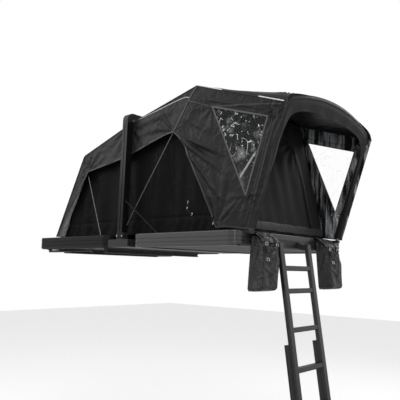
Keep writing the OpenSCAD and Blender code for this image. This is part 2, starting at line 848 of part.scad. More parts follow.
// Ears that carry the ladder's pins, rounded about the pivot
ear_t = 6;
ear_r = 16;
module ladder_ear() {
    xz_slab(concat(
        [[shell_out, lip + 2], [pivot[0], ladder_z - ear_r]],
        arc(pivot[0], ladder_z, ear_r, -80, 80, 10),
        [[pivot[0], ladder_z + ear_r], [shell_out, lip + 44]]
    ), -ear_t / 2, ear_t / 2);
}

module ladder_bracket() {
    ear_y = ladder_w / 2 - side_w - ear_t - run;
    color([0.12, 0.12, 0.13]) place() {
        translate([shell_out, ladder_y - ladder_w / 2, lip + 2])
            cube([5, ladder_w, 46]);
        for (side = [-1, 1]) translate([0, ladder_y, 0]) {
            translate([0, side * (ear_y + ear_t / 2), 0]) ladder_ear();
            translate([pivot[0], side * (ear_y + ear_t / 2), ladder_z]) rotate([-90 * side, 0, 0])
                cylinder(h = ear_t / 2 + side_w + 2 * run, r = pin_r);
            translate([pivot[0], side * (ladder_w / 2 + run / 2), ladder_z])
                rotate([-90 * side, 0, 0]) cylinder(h = 5, r = pin_r + 4);
        }
    }
}

// Hook at the upper section's lower end that guides the lower section's rail
hook_t = 4;
hook_h = 30;
module guide_hook() {
    back = lower_x - side_d / 2 - run - hook_t;
    out = ladder_w / 2 + run;
    translate([back, out, -upper_len]) cube([side_d / 2 - back, hook_t, hook_h]);
    translate([back, out - side_w / 3, -upper_len]) cube([hook_t, side_w / 3, hook_h]);
    translate([-side_d / 4, ladder_w / 2 - groove_d, -upper_len]) cube([side_d / 2, groove_d + run, hook_h]);
}

module ladder_upper_rails() {
    color([0.2, 0.2, 0.21]) place() at_ladder() {
        difference() {
            ladder_side(0, -25, upper_len);
            translate([0, ladder_w, 0]) rotate([90, 0, 0])
                cylinder(h = 2 * ladder_w, r = pin_r + bore_fit);
        }
        both_ends() guide_hook();
    }
}

// Tread: a rung with a ribbed top, so that a foot doesn't slip
rung_h = 32;
rung_d = 24;
ribs = 4;
rib_h = 2;
module rung(x, s) {
    len = ladder_w - 2 * side_w;
    pitch = rung_d / ribs;
    top = rung_h / 2 - rib_h;
    teeth = [for (i = [0 : ribs - 1]) let (a = rung_d / 2 - i * pitch) each
        [[a, top], [a, top + rib_h], [a - pitch / 2, top + rib_h], [a - pitch / 2, top]]];
    translate([x, 0, -s]) xz_slab(concat(
        [[-rung_d / 2, -rung_h / 2 + 6], [-rung_d / 2 + 6, -rung_h / 2],
            [rung_d / 2 - 6, -rung_h / 2], [rung_d / 2, -rung_h / 2 + 6]],
        teeth,
        [[-rung_d / 2, top]]
    ), -len / 2, len / 2);
}

module ladder_upper_rungs() {
    color([0.22, 0.22, 0.23]) place() at_ladder() {
        rung(0, 143);
        for (i = [0 : 3]) rung(0, rung_first + i * rung_step);
    }
}

// Foot: a cap around the rail's end with a rounded, ribbed sole
foot_wall = 4;
foot_h = 45;
module ladder_foot() {
    half = side_d / 2 + foot_wall;
    sole = 20;
    translate([lower_x, 0, -lower_end]) xz_slab(concat(
        [[half, foot_h - sole], [-half, foot_h - sole]],
        arc(0, half - sole, half, 180, 360, 12)
    ), rail_mid - side_w / 2 - foot_wall, rail_mid + side_w / 2 + foot_wall);
}

module ladder_lower_rails() {
    color([0.18, 0.18, 0.19]) place() at_ladder() {
        ladder_side(lower_x, lower_top, lower_end);
        both_ends() ladder_foot();
    }
}

module ladder_lower_rungs() {
    color([0.22, 0.22, 0.23]) place() at_ladder()
        for (i = [2 : 5]) rung(lower_x, rung_first + i * rung_step);
}

// Shoe bags that hang from the fold-out shell's rim and lean away from the ladder
bag_top = shell_h - hoop_seat - seat;
module shoe_bag(y0, side) {
    x0 = shell_out + seat;
    flap_z = bag_top - 36;
    bottom = bag_top - bag_h;
    swing = side * bag_swing / bag_h;
    multmatrix([[1, 0, 0, 0], [0, 1, -swing, swing * bag_top], [0, 0, 1, 0]])
        xz_slab([
            [x0, bag_top], [x0 + 0.1 * bag_d, bag_top - 2], [x0 + 0.34 * bag_d, flap_z],
            [x0 + 0.74 * bag_d, flap_z - 66], [x0 + bag_d, flap_z - 160],
            [x0 + 0.98 * bag_d, bottom + 14], [x0 + 0.88 * bag_d, bottom],
            [x0 + 0.1 * bag_d, bottom], [x0, bottom + 14]
        ], y0, y0 + bag_w);
}

module shoe_bag_rear() {
    color([0.23, 0.22, 0.22]) place() shoe_bag(ladder_y - ladder_w / 2 - bag_gap - bag_w, -1);
}

module shoe_bag_front() {
    color([0.23, 0.22, 0.22]) place() shoe_bag(ladder_y + bag_reach, 1);
}

base_side_rails();
base_end_rails();
base_corners();
base_floor();
leaf_side_rails();
leaf_end_rails();
leaf_corners();
leaf_floor();
spine_beam();
spine_hinges();
mount_rail_inner();
mount_rail_outer();
gas_struts();
u_frame_legs();
u_frame_top();
u_frame_feet();
frame_stays();
ridge_hoop_legs();
ridge_hoop_top();
tail_hoop_legs();
tail_hoop_top();
canopy_hoop_legs();
canopy_hoop_top();
canopy_hoop_feet();
fly_tail();
fly_roof_low();
fly_roof_high();
fly_canopy_roof();
canopy_band();
fly_rear_valance();
fly_front_valance();
fly_rear_wing();
fly_front_wing();
side_windows();
body_rear_wall();
body_front_wall();
body_tail_wall();
body_door_wall();
awning_rods();
ladder_bracket();
ladder_upper_rails();
ladder_upper_rungs();
ladder_lower_rails();
ladder_lower_rungs();
shoe_bag_rear();
shoe_bag_front();
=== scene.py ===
# %% [markdown]
# A fold-out rooftop tent, pitched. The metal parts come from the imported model
# and only get their finishes here. Everything sewn is made here: the fly, its
# clear windows, the canopy, the tent body and the shoe bags.

# %% Load the frame
import math

import bmesh
import bpy
import numpy as np
from mathutils import Matrix, Vector


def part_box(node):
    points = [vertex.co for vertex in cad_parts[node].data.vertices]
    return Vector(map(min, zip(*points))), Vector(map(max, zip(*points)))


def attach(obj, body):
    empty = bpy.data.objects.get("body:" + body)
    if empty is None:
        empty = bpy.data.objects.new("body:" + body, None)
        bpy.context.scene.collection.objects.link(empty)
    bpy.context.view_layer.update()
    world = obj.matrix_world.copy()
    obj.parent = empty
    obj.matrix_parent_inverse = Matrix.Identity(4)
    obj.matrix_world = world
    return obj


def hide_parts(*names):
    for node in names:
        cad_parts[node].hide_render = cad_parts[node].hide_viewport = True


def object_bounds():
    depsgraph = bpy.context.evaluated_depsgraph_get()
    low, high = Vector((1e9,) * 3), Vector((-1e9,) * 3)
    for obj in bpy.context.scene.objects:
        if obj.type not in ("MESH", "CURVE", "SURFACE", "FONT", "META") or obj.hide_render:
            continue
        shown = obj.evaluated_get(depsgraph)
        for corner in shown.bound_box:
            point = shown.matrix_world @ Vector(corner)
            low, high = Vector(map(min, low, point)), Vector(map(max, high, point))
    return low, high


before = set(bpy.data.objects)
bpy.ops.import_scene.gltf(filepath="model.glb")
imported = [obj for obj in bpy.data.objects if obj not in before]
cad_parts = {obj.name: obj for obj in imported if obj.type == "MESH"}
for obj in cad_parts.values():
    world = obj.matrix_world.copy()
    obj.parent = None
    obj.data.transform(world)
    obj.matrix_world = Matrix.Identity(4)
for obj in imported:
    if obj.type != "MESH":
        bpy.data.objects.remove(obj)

cad_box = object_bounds()
print("CAD box", [tuple(round(v, 3) for v in corner) for corner in cad_box])

# %% [markdown]
# The tent is easiest to measure from the middle of its spine, at the underside
# of the shells. The places below are written from there, in metres, and
# `place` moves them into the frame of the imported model.

# %% Driving places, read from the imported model
base_low, base_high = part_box("base_side_rails")
leaf_low, leaf_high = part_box("leaf_side_rails")
SPINE_X = (base_high.x + leaf_low.x) / 2
UNDER_Z = base_low.z
SHELL_H = base_high.z - base_low.z
SHELL_OUT = leaf_high.x - SPINE_X
GAP_HALF = leaf_low.x - SPINE_X
FLY_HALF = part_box("fly_front_valance")[1].y
BODY_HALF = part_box("body_front_wall")[1].y
REAR, FRONT = -1, 1
SIDES = (("rear", REAR), ("front", FRONT))


def place(points):
    """Points measured from the spine's middle, moved into the model's frame."""
    return np.asarray(points, float) + (SPINE_X, 0.0, UNDER_Z)


def local_box(node):
    """A node's lowest and highest corners, measured from the spine's middle."""
    return [corner - Vector((SPINE_X, 0.0, UNDER_Z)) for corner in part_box(node)]


print("spine at", round(SPINE_X, 4), "shell height", round(SHELL_H, 4), "fly half", round(FLY_HALF, 4))

# %% [markdown]
# The camera stands low behind the tent's corner and looks slightly up. Its
# place and angles were fitted to the corners of the shells. Blender's lens is
# in millimetres on a 36 mm sensor, so the focal length in pixels of a picture
# 400 pixels wide is turned into millimetres first.

# %% Camera
PICTURE, FOCAL_PX, SENSOR = 400, 520.0, 36.0
CAMERA_AT = (3.04, -3.21, -0.15)
AZIMUTH, PITCH, ROLL = (math.radians(a) for a in (41.7, 7.61, 1.16))


def new_object(name, data):
    """An object in the scene that shows the data."""
    made = bpy.data.objects.new(name, data)
    bpy.context.scene.collection.objects.link(made)
    return made


def make_camera():
    """A camera whose axes are its right, up and back directions as columns of a matrix."""
    x, y, flat = math.cos(AZIMUTH), math.sin(AZIMUTH), math.cos(PITCH)
    level = Vector((x, y, 0.0))
    ahead = Vector((-y * flat, x * flat, math.sin(PITCH)))
    above = level.cross(ahead)
    right = math.cos(ROLL) * level + math.sin(ROLL) * above
    up = math.cos(ROLL) * above - math.sin(ROLL) * level
    data = bpy.data.cameras.new("camera")
    data.sensor_width = SENSOR
    data.lens = FOCAL_PX / PICTURE * SENSOR
    camera = new_object("camera", data)
    turn = Matrix((right, up, -ahead)).transposed().to_4x4()
    camera.matrix_world = Matrix.Translation(place(CAMERA_AT)) @ turn
    bpy.context.scene.camera = camera
    return camera


print("lens", round(make_camera().data.lens, 2), "mm")

# %% [markdown]
# A finish is built from a few shared effects. Each effect is a node group with
# named sockets, so that the same weave or crease serves several fabrics at its
# own scale. The shader stays in the material.

# %% Helpers for shader nodes
FLOAT, VECTOR, COLOR = "NodeSocketFloat", "NodeSocketVector", "NodeSocketColor"


def new_group(name, inputs, outputs):
    """A shader group with named sockets, what it is given, and a function that puts a result out."""
    group = bpy.data.node_groups.new(name, "ShaderNodeTree")
    for way, sockets in (("INPUT", inputs), ("OUTPUT", outputs)):
        for kind, labels in sockets.items():
            for label in labels.split():
                group.interface.new_socket(name=label, in_out=way, socket_type=kind)
    given = group.nodes.new("NodeGroupInput").outputs
    results = group.nodes.new("NodeGroupOutput").inputs
    return group, given, lambda label, socket: group.links.new(socket, results[label])


def add(tree, kind, inputs=None, **settings):
    """A new node with its settings, and each input linked to a socket or set to a value."""
    made = tree.nodes.new("ShaderNode" + kind)
    for key, value in settings.items():
        setattr(made, key, value)
    for key, value in (inputs or {}).items():
        if isinstance(value, bpy.types.NodeSocket):
            tree.links.new(value, made.inputs[key])
        else:
            made.inputs[key].default_value = value
    return made


def calc(tree, operation, a, b=0.0, c=0.0):
    """The result of one Math node."""
    return add(tree, "Math", {0: a, 1: b, 2: c}, operation=operation).outputs[0]


def span(tree, value, low, high, start=0.0, end=1.0):
    """Goes from start to end while the value goes from low to high."""
    return add(tree, "MapRange", {0: value, 1: low, 2: high, 3: start, 4: end}).outputs[0]


def noise(tree, where, scale, detail=2.0, rough=0.5, bend=0.0):
    """A Noise texture's outputs: one value, and three more as a colour."""
    inputs = {"Vector": where, "Scale": scale, "Detail": detail, "Roughness": rough, "Distortion": bend}
    return add(tree, "TexNoise", inputs).outputs


# %% Shared effects: weave, creases, uneven tone, crumpled film, drawn metal
def weave_group():
    """Crossing threads: the height is the product of two sines, one along each thread."""
    tree, given, put = new_group("plain_weave", {VECTOR: "Vector", FLOAT: "Threads"}, {FLOAT: "Height"})
    split = add(tree, "SeparateXYZ", {0: given["Vector"]}).outputs
    turns = calc(tree, "MULTIPLY", given["Threads"], math.pi)
    warp, weft = (calc(tree, "SINE", calc(tree, "MULTIPLY", split[k], turns)) for k in (0, 1))
    put("Height", calc(tree, "MULTIPLY_ADD", calc(tree, "MULTIPLY", warp, weft), 0.5, 0.5))
    return tree


def crease_group():
    """Sharp random creases: one minus the distance of a noise from its middle, raised to a power."""
    tree, given, put = new_group("creases", {VECTOR: "Vector", FLOAT: "Scale Sharpness"},
                                 {FLOAT: "Height"})
    waves = noise(tree, given["Vector"], given["Scale"], bend=0.35)[0]
    away = calc(tree, "ABSOLUTE", calc(tree, "SUBTRACT", waves, 0.5))
    put("Height", calc(tree, "POWER", span(tree, away, 0.0, 0.25, 1.0, 0.0), given["Sharpness"]))
    return tree


def tone_group():
    """A slow noise, stretched by a contrast, mixes two colours and lifts the roughness."""
    inputs = {VECTOR: "Vector", COLOR: "Dark Light", FLOAT: "Scale Rough Spread Contrast Middle"}
    tree, given, put = new_group("uneven_tone", inputs, {COLOR: "Color", FLOAT: "Roughness"})
    shift = calc(tree, "SUBTRACT", noise(tree, given["Vector"], given["Scale"], 5.0, 0.6)[0], 0.5)
    share = calc(tree, "MULTIPLY_ADD", shift, given["Contrast"], given["Middle"])
    mix = add(tree, "Mix", {0: share, 6: given["Dark"], 7: given["Light"]}, data_type="RGBA")
    put("Color", mix.outputs[2])
    put("Roughness", calc(tree, "MULTIPLY_ADD", shift, given["Spread"], given["Rough"]))
    return tree


def wrinkle_group():
    """A net of sharp folds: thin lines where bent cells meet, kept only where a slow noise is high."""
    tree, given, put = new_group("wrinkles", {VECTOR: "Vector", FLOAT: "Scale Width Share"},
                                 {FLOAT: "Mask"})
    where, scale, share = given["Vector"], given["Scale"], given["Share"]
    drift = noise(tree, where, scale, 1.0)["Color"]
    bent = add(tree, "VectorMath", {0: drift, 1: (0.018,) * 3, 2: where}, operation="MULTIPLY_ADD")
    cells = add(tree, "TexVoronoi", {"Vector": bent.outputs[0], "Scale": scale},
                feature="DISTANCE_TO_EDGE")
    line = span(tree, cells.outputs["Distance"], 0.0, given["Width"], 1.0, 0.0)
    patch = noise(tree, where, calc(tree, "MULTIPLY", scale, 0.8), 1.0)[0]
    patch = span(tree, patch, share, calc(tree, "ADD", share, 0.06))
    put("Mask", calc(tree, "MULTIPLY", calc(tree, "POWER", line, 1.5), patch))
    return tree


def drawn_group():
    """Fine lines along one axis: a noise that is stretched by the vector it is given."""
    tree, given, put = new_group("drawn_lines", {VECTOR: "Vector", FLOAT: "Scale"}, {FLOAT: "Height"})
    put("Height", noise(tree, given["Vector"], given["Scale"], 4.0, 0.7)[0])
    return tree


WEAVE, CREASES, TONE = weave_group(), crease_group(), tone_group()
WRINKLES, DRAWN = wrinkle_group(), drawn_group()
print("shared effects", [g.name for g in (WEAVE, CREASES, TONE, WRINKLES, DRAWN)])

# %% Starting a material
def start_material(name, **sockets):
    """A material's tree and its Principled shader, whose plain values are set on its own sockets."""
    material = bpy.data.materials.new(name)
    material.use_nodes = True
    shader = material.node_tree.nodes["Principled BSDF"]
    for key, value in sockets.items():
        shader.inputs[key.replace("_", " ")].default_value = value
    return material.node_tree, shader


def effect(tree, group, **inputs):
    """A shared effect's outputs, at this material's own scale."""
    return add(tree, "Group", inputs, node_tree=group).outputs


def coat(tree, shader, where, scale, greys, tint, rough, spread, contrast=1.0, middle=0.5):
    """Puts uneven tone between two greys of one tint into the shader's colour and roughness."""
    dark, light = ((*(value * t for t in tint), 1.0) for value in greys)
    tone = effect(tree, TONE, Vector=where, Scale=scale, Dark=dark, Light=light, Rough=rough,
                  Spread=spread, Contrast=contrast, Middle=middle)
    tree.links.new(tone["Color"], shader.inputs["Base Color"])
    tree.links.new(tone["Roughness"], shader.inputs["Roughness"])


def bump(tree, shader, heights):
    """Chains Bump nodes, from the coarse to the fine, into the shader's normal."""
    normal = {}
    for height, strength, distance in heights:
        inputs = {"Height": height, "Strength": strength, "Distance": distance, **normal}
        normal = {"Normal": add(tree, "Bump", inputs).outputs[0]}
    tree.links.new(normal["Normal"], shader.inputs["Normal"])


# %% [markdown]
# The fly is coated polyester: dark grey, with a soft sheen outside and a
# glossy coating inside, so a panel has two materials. The inside carries long
# pale streaks along the hoop, which are painted sheen. The tent body is a matt
# canvas, the shoe bags are waxed, and the webbing is a coarse weave. All of
# them read the panel's own map, in metres, so the threads run with the cut.

# %% Cloth finishes
HOOP_LEAN = math.radians(15.0)
CLOTH_PATCH, SMALL_SCALE, SMALL_SHARE = 2.6, 3.7, 0.3
CREASE_DEEP, SMALL_DEEP, YARN_DEEP = 0.006, 0.0018, 0.0003
PLAIN, WARM, COOL, PLUM = (1.0, 1.0, 1.0), (1.02, 1.0, 0.98), (0.97, 1.0, 1.05), (1.05, 0.97, 1.06)


def cloth(name, greys, tint, rough, gloss, threads=1100.0, weave=0.12, crease=0.25, crease_scale=9.0,
          spread=0.12, tone_stretch=(1.0, 1.0), contrast=1.0, middle=0.5):
    """A woven finish: uneven tone, which tone_stretch may draw out along the hoop into streaks of
    painted sheen, creases and threads.
    """
    tree, shader = start_material(name, Specular_IOR_Level=gloss)
    where = add(tree, "UVMap", uv_map="cut").outputs[0]
    along = add(tree, "Mapping", {"Vector": where, "Rotation": (0, 0, HOOP_LEAN),
                                  "Scale": (*tone_stretch, 1.0)})
    coat(tree, shader, along.outputs[0], CLOTH_PATCH, greys, tint, rough, spread, contrast, middle)
    large = effect(tree, CREASES, Vector=where, Scale=crease_scale, Sharpness=2.2)["Height"]
    fine = crease_scale * SMALL_SCALE
    small = effect(tree, CREASES, Vector=where, Scale=fine, Sharpness=2.8)["Height"]
    yarn = effect(tree, WEAVE, Vector=where, Threads=threads)["Height"]
    bump(tree, shader, [(large, crease, CREASE_DEEP), (small, crease * SMALL_SHARE, SMALL_DEEP),
                        (yarn, weave, YARN_DEEP)])


CLOTHS = {  # darkest and lightest grey, tint, roughness, gloss, and what differs from a plain cloth
    "fly_cloth": ((0.009, 0.019), WARM, 0.42, 0.16, dict(crease=0.55)),
    # painted sheen: the inside's pale streaks, stretched along the hoop, stand in for its glossy
    # reflections
    "fly_inside_painted_sheen": ((0.015, 0.80), COOL, 0.18, 0.8,
                   dict(crease=1.0, crease_scale=7.0, spread=0.3, tone_stretch=(9.0, 0.9), contrast=3.6,
                        middle=0.16)),
    "roof_lining": ((0.60, 0.85), COOL, 0.3, 0.8, dict(crease=0.5)),
    "canopy_cloth": ((0.013, 0.018), PLUM, 0.5, 0.15, dict(crease=0.12)),
    "canopy_inside": ((0.010, 0.016), PLUM, 0.38, 0.4, dict(crease=0.15)),
    "body_cloth": ((0.002, 0.006), COOL, 0.6, 0.06,
                   dict(threads=800.0, crease=0.5, crease_scale=5.0)),
    "door_cloth": ((0.010, 0.015), PLUM, 0.7, 0.15,
                   dict(threads=800.0, crease=0.25, crease_scale=5.0)),
    "skirt_cloth": ((0.020, 0.030), WARM, 0.5, 0.25, dict(crease=0.4)),
    "bag_cloth": ((0.006, 0.034), WARM, 0.42, 0.3,
                  dict(threads=620.0, weave=0.2, crease=0.9, crease_scale=12.0, spread=0.3)),
    "webbing": ((0.010, 0.016), PLAIN, 0.6, 0.2, dict(threads=900.0, weave=0.5, crease=0.05)),
    # partly painted sheen: a real piping under the roof's edge, made light grey to stand in for the
    # sheen it catches
    "piping_painted_sheen": ((0.30, 0.42), WARM, 0.35, 0.5, dict(crease=0.05)),
    # painted highlight: pale patches along the canopy's edge piping stand in for the glints it catches
    "piping_painted_glint": ((0.55, 0.95), WARM, 0.22, 0.8, dict(crease=0.05)),
    "seam_tape": ((0.018, 0.028), WARM, 0.36, 0.3, dict(crease=0.1)),
    "window_tape": ((0.05, 0.08), WARM, 0.4, 0.4, dict(crease=0.1)),
}
for name, (*plain, more) in CLOTHS.items():
    cloth(name, *plain, **more)
print("cloth finishes", len(CLOTHS))

# %% [markdown]
# The window film is clear and soft. It creases sharply when it has been
# folded. The light the creases catch is painted as small white marks: the
# film's alpha is low, so that what is behind shows, and rises on the creases.
# A slow noise adds haze, and one long fold crosses the lower half as a
# painted white line.

# %% Window film
CLEAR = 0.012
FOLD_AT, FOLD_DIR = (1.048, 0.429), (0.627, 0.779)
FOLD_OFF = FOLD_AT[0] * FOLD_DIR[1] - FOLD_AT[1] * FOLD_DIR[0]


def film_material(name, share):
    """Clear film; share is how strongly the painted glints on its folds show."""
    tree, shader = start_material(name, Base_Color=(0.90, 0.93, 0.93, 1.0), Roughness=0.08,
                                  Specular_IOR_Level=0.8)

    def most(a, b):
        return calc(tree, "MAXIMUM", a, b)

    def times(a, b):
        return calc(tree, "MULTIPLY", a, b)

    where = add(tree, "UVMap", uv_map="cut").outputs[0]
    large = effect(tree, WRINKLES, Vector=where, Scale=13.0, Width=0.032, Share=0.56)["Mask"]
    small = effect(tree, WRINKLES, Vector=where, Scale=34.0, Width=0.090, Share=0.60)["Mask"]
    dots = add(tree, "TexVoronoi", {"Vector": where, "Scale": 42.0}).outputs["Distance"]
    cloud = noise(tree, where, 11.0)[0]
    spots = times(span(tree, dots, 0.14, 0.20, 1.0, 0.0), span(tree, cloud, 0.54, 0.58))
    haze = span(tree, cloud, 0.52, 0.72, 0.0, 0.10)
    height = add(tree, "SeparateXYZ", {0: where}).outputs[1]
    # painted highlights: where the creases and specks catch light, the film turns white as its alpha
    # rises
    marks = times(most(most(large, small), spots), span(tree, height, 0.50, 0.66, 0.06, 1.0))
    side = (FOLD_DIR[1], -FOLD_DIR[0], 0)
    fold = add(tree, "VectorMath", {0: where, 1: side}, operation="DOT_PRODUCT")
    across = calc(tree, "ABSOLUTE", calc(tree, "SUBTRACT", fold.outputs["Value"], FOLD_OFF))
    # painted highlight: a white line along the long fold
    fold = times(span(tree, across, 0.002, 0.009, 0.26, 0.0), span(tree, height, 0.56, 0.60, 1.0, 0.0))
    alpha = calc(tree, "MULTIPLY_ADD", most(most(marks, haze), fold), share, CLEAR)
    tree.links.new(add(tree, "Clamp", {0: alpha}).outputs[0], shader.inputs["Alpha"])
    bump(tree, shader, [(large, 0.6, 0.004), (small, 0.4, 0.002)])


# The rear window's painted glints are strong, the front window's faint.
for name, share in (("rear_film", 0.95), ("front_film", 0.15)):
    film_material(name, share)
print("window film made")

# %% [markdown]
# The frames are black anodised extrusions. Drawn lines run along each bar, so
# the noise is stretched along the bar's length before it is read.

# %% Metal finishes and the carried-over nodes
ALONG_X, ALONG_Y, ALONG_Z, EVEN = (0.03, 1, 1), (1, 0.03, 1), (1, 1, 0.03), (1, 1, 1)
METAL_PATCH, METAL_SPREAD = 5.0, 0.14
DRAWN_SCALE, LINE_DEEP = 70.0, 0.0006


def metal(name, greys, tint, rough, gloss, stretch, lines=0.12, metallic=0.0):
    """A coated or bare metal: uneven tone, drawn lines and a slight change of gloss."""
    tree, shader = start_material(name, Specular_IOR_Level=gloss, Metallic=metallic)
    where = add(tree, "TexCoord").outputs["Object"]
    coat(tree, shader, where, METAL_PATCH, greys, tint, rough, METAL_SPREAD)
    drawn = add(tree, "Mapping", {"Vector": where, "Scale": stretch}).outputs[0]
    fine = effect(tree, DRAWN, Vector=drawn, Scale=DRAWN_SCALE)["Height"]
    bump(tree, shader, [(fine, lines, LINE_DEEP)])


BARE = {"metallic": 1.0}
METALS = {  # darkest and lightest grey, tint, roughness, gloss, direction, what differs, nodes
    # Lit and shaded copies of one anodised metal: the leaf's end rails are made lighter as painted
    # light, and its long rails and the base shell's rails are made darker as painted shade.
    "base_long": ((0.010, 0.015), COOL, 0.36, 0.09, ALONG_Y, {}, "base_side_rails"),
    "base_end": ((0.010, 0.015), COOL, 0.36, 0.09, ALONG_X, {}, "base_end_rails base_corners"),
    "leaf_long": ((0.020, 0.028), COOL, 0.34, 0.4, ALONG_Y, {}, "leaf_side_rails"),
    "leaf_end": ((0.028, 0.040), COOL, 0.34, 0.5, ALONG_X, {}, "leaf_end_rails"),
    "corner_metal": ((0.022, 0.030), COOL, 0.26, 0.5, (1, 1, 0.6), {}, "leaf_corners"),
    "panel_metal": ((0.014, 0.022), PLAIN, 0.55, 0.2, EVEN, {}, "base_floor leaf_floor"),
    "spine_metal": ((0.014, 0.020), PLAIN, 0.42, 0.3, ALONG_Y, {},
                    "spine_beam mount_rail_inner mount_rail_outer"),
    "u_metal": ((0.004, 0.007), COOL, 0.26, 0.16, ALONG_Z, {}, "u_frame_legs u_frame_top"),
    "bracket_metal": ((0.014, 0.022), PLAIN, 0.5, 0.3, EVEN, {"lines": 0.3},
                      "spine_hinges u_frame_feet canopy_hoop_feet ladder_bracket"),
    "strut_metal": ((0.012, 0.018), PLAIN, 0.3, 0.4, ALONG_X, {}, "gas_struts"),
    "pole_metal": ((0.22, 0.3), PLAIN, 0.35, 0.5, ALONG_Z, BARE,
                   "ridge_hoop_legs ridge_hoop_top tail_hoop_legs tail_hoop_top "
                   "canopy_hoop_legs canopy_hoop_top"),
    "rod_metal": ((0.07, 0.14), PLAIN, 0.3, 0.5, ALONG_Z, BARE, "awning_rods"),
    "stay_metal": ((0.006, 0.010), PLAIN, 0.5, 0.12, ALONG_Z, {}, "frame_stays"),
    "bright_metal": ((0.42, 0.6), PLAIN, 0.28, 0.5, ALONG_Z, BARE, ""),
    "ladder_metal": ((0.010, 0.016), COOL, 0.3, 0.4, ALONG_Z, {},
                     "ladder_upper_rails ladder_lower_rails"),
    "rung_metal": ((0.012, 0.020), COOL, 0.36, 0.4, ALONG_Y, {},
                   "ladder_upper_rungs ladder_lower_rungs"),
}
for name, (*plain, more, nodes) in METALS.items():
    metal(name, *plain, **more)
    for node in nodes.split():
        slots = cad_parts[node].data.materials
        slots.clear()
        slots.append(bpy.data.materials[name])
print("metal finishes", len(METALS))

# %% [markdown]
# Every sewn panel is a grid of points worked out at once with numpy. The
# helpers below turn grids, tubes and strips into meshes.

# %% Helpers for meshes
SHARP_EDGE = math.radians(40.0)


def grid_faces(rows, cols, wrap=False):
    """Quads of a grid of rows by cols points; wrap joins the last column to the first."""
    r = np.arange(rows - 1)[:, None]
    c = np.arange(cols if wrap else cols - 1)[None, :]
    a, b = r * cols + c, r * cols + (c + 1) % cols
    return np.stack([a, b, b + cols, a + cols], axis=-1).reshape(-1, 4).tolist()


def face_normals(points, faces):
    """Each face's normal, which is the cross product of its diagonals, and its middle."""
    quads = np.array([f if len(f) == 4 else f + f[-1:] for f in faces])
    p = points[quads]
    return np.cross(p[:, 2] - p[:, 0], p[:, 3] - p[:, 1]), p.mean(axis=1)


def new_piece(name, points, faces, materials, uv, body="tent", inside=None):
    """An object whose faces point away from the point called inside, with its map in metres."""
    points = np.asarray(points, float)
    if inside is not None:
        normals, centres = face_normals(points, faces)
        if ((centres - np.asarray(inside)) * normals).sum() < 0:
            faces = [f[::-1] for f in faces]
    mesh = bpy.data.meshes.new(name)
    mesh.from_pydata(place(points).tolist(), [], faces)
    mesh.update()
    corners = np.empty(len(mesh.loops), np.int32)
    mesh.loops.foreach_get("vertex_index", corners)
    layer = mesh.uv_layers.new(name="cut")
    layer.data.foreach_set("uv", np.asarray(uv, np.float32)[corners].ravel())
    for material in materials:
        mesh.materials.append(bpy.data.materials[material])
    mesh.polygons.foreach_set("use_smooth", np.ones(len(mesh.polygons), bool))
    mesh.set_sharp_from_angle(angle=SHARP_EDGE)
    piece = new_object(name, mesh)
    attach(piece, body)
    return piece


def closed_rings(rings):
    """The skin over rings of points, with a fan of triangles on each end."""
    count, sides, _ = rings.shape
    points = np.concatenate([rings.reshape(-1, 3), [rings[0].mean(axis=0), rings[-1].mean(axis=0)]])
    i = np.arange(sides)
    first = np.stack([np.full(sides, count * sides), (i + 1) % sides, i], axis=1)
    base = (count - 1) * sides
    last = np.stack([np.full(sides, count * sides + 1), base + i, base + (i + 1) % sides], axis=1)
    return points, grid_faces(count, sides, wrap=True) + first.tolist() + last.tolist()


def outward(piece):
    """Recalculates the normals of a closed mesh."""
    work = bmesh.new()
    work.from_mesh(piece.data)
    bmesh.ops.recalc_face_normals(work, faces=work.faces)
    work.to_mesh(piece.data)
    work.free()
    return piece


# %% Helpers for lines
def through(knots, steps=12):
    """A Catmull-Rom curve: a cubic through each two knots, with their neighbours' chord as slope."""
    k = np.asarray(knots, float)
    k = np.concatenate([[2 * k[0] - k[1]], k, [2 * k[-1] - k[-2]]])
    t = np.linspace(0, 1, steps, endpoint=False)[None, :, None]
    a, b, c, d = (k[i:len(k) - 3 + i, None, :] for i in range(4))
    spans = 2 * b + (c - a) * t + (2 * a - 5 * b + 4 * c - d) * t**2 + (3 * b - a - 3 * c + d) * t**3
    return np.concatenate([0.5 * spans.reshape(-1, k.shape[1]), k[-2:-1]])


def lengths(line):
    """The distance along a line at each of its points."""
    steps = np.linalg.norm(np.diff(line, axis=0), axis=1)
    return np.concatenate([[0.0], np.cumsum(steps)])


def read_off(want, at, line):
    """The line at the parameters want, where its own points lie at the parameters at."""
    return np.stack([np.interp(want, at, column) for column in np.asarray(line, float).T], axis=1)


def spaced(line, count):
    """The line with count points at even distances."""
    at = lengths(line)
    return read_off(np.linspace(0, at[-1], count), at, line)


def paced(knots, at, u, steps=12):
    """The smooth line at parameters u, where its knots lie at the parameters at."""
    line = through(knots, steps)
    return read_off(u, np.interp(np.arange(len(line)) / steps, np.arange(len(knots)), at), line)


def line_normals(line):
    """Unit normals on the left of a flat line."""
    ahead = np.gradient(line, axis=0)
    ahead /= np.linalg.norm(ahead, axis=1, keepdims=True)
    return np.stack([-ahead[:, 1], ahead[:, 0]], axis=1)


def rounded(knots, radius, steps=6):
    """A polyline whose corners are small parabolas."""
    k = np.asarray(knots, float)
    t = np.linspace(0, 1, steps)[:, None]
    line = [k[0]]
    for a, b, c in zip(k[:-2], k[1:-1], k[2:]):
        start = b + (a - b) / np.linalg.norm(a - b) * radius
        end = b + (c - b) / np.linalg.norm(c - b) * radius
        line.extend((1 - t)**2 * start + 2 * t * (1 - t) * b + t**2 * end)
    return np.array(line + [k[-1]])


# %% Helpers for tubes and strips
SIDEWAYS = (0.0, 1.0, 0.02)


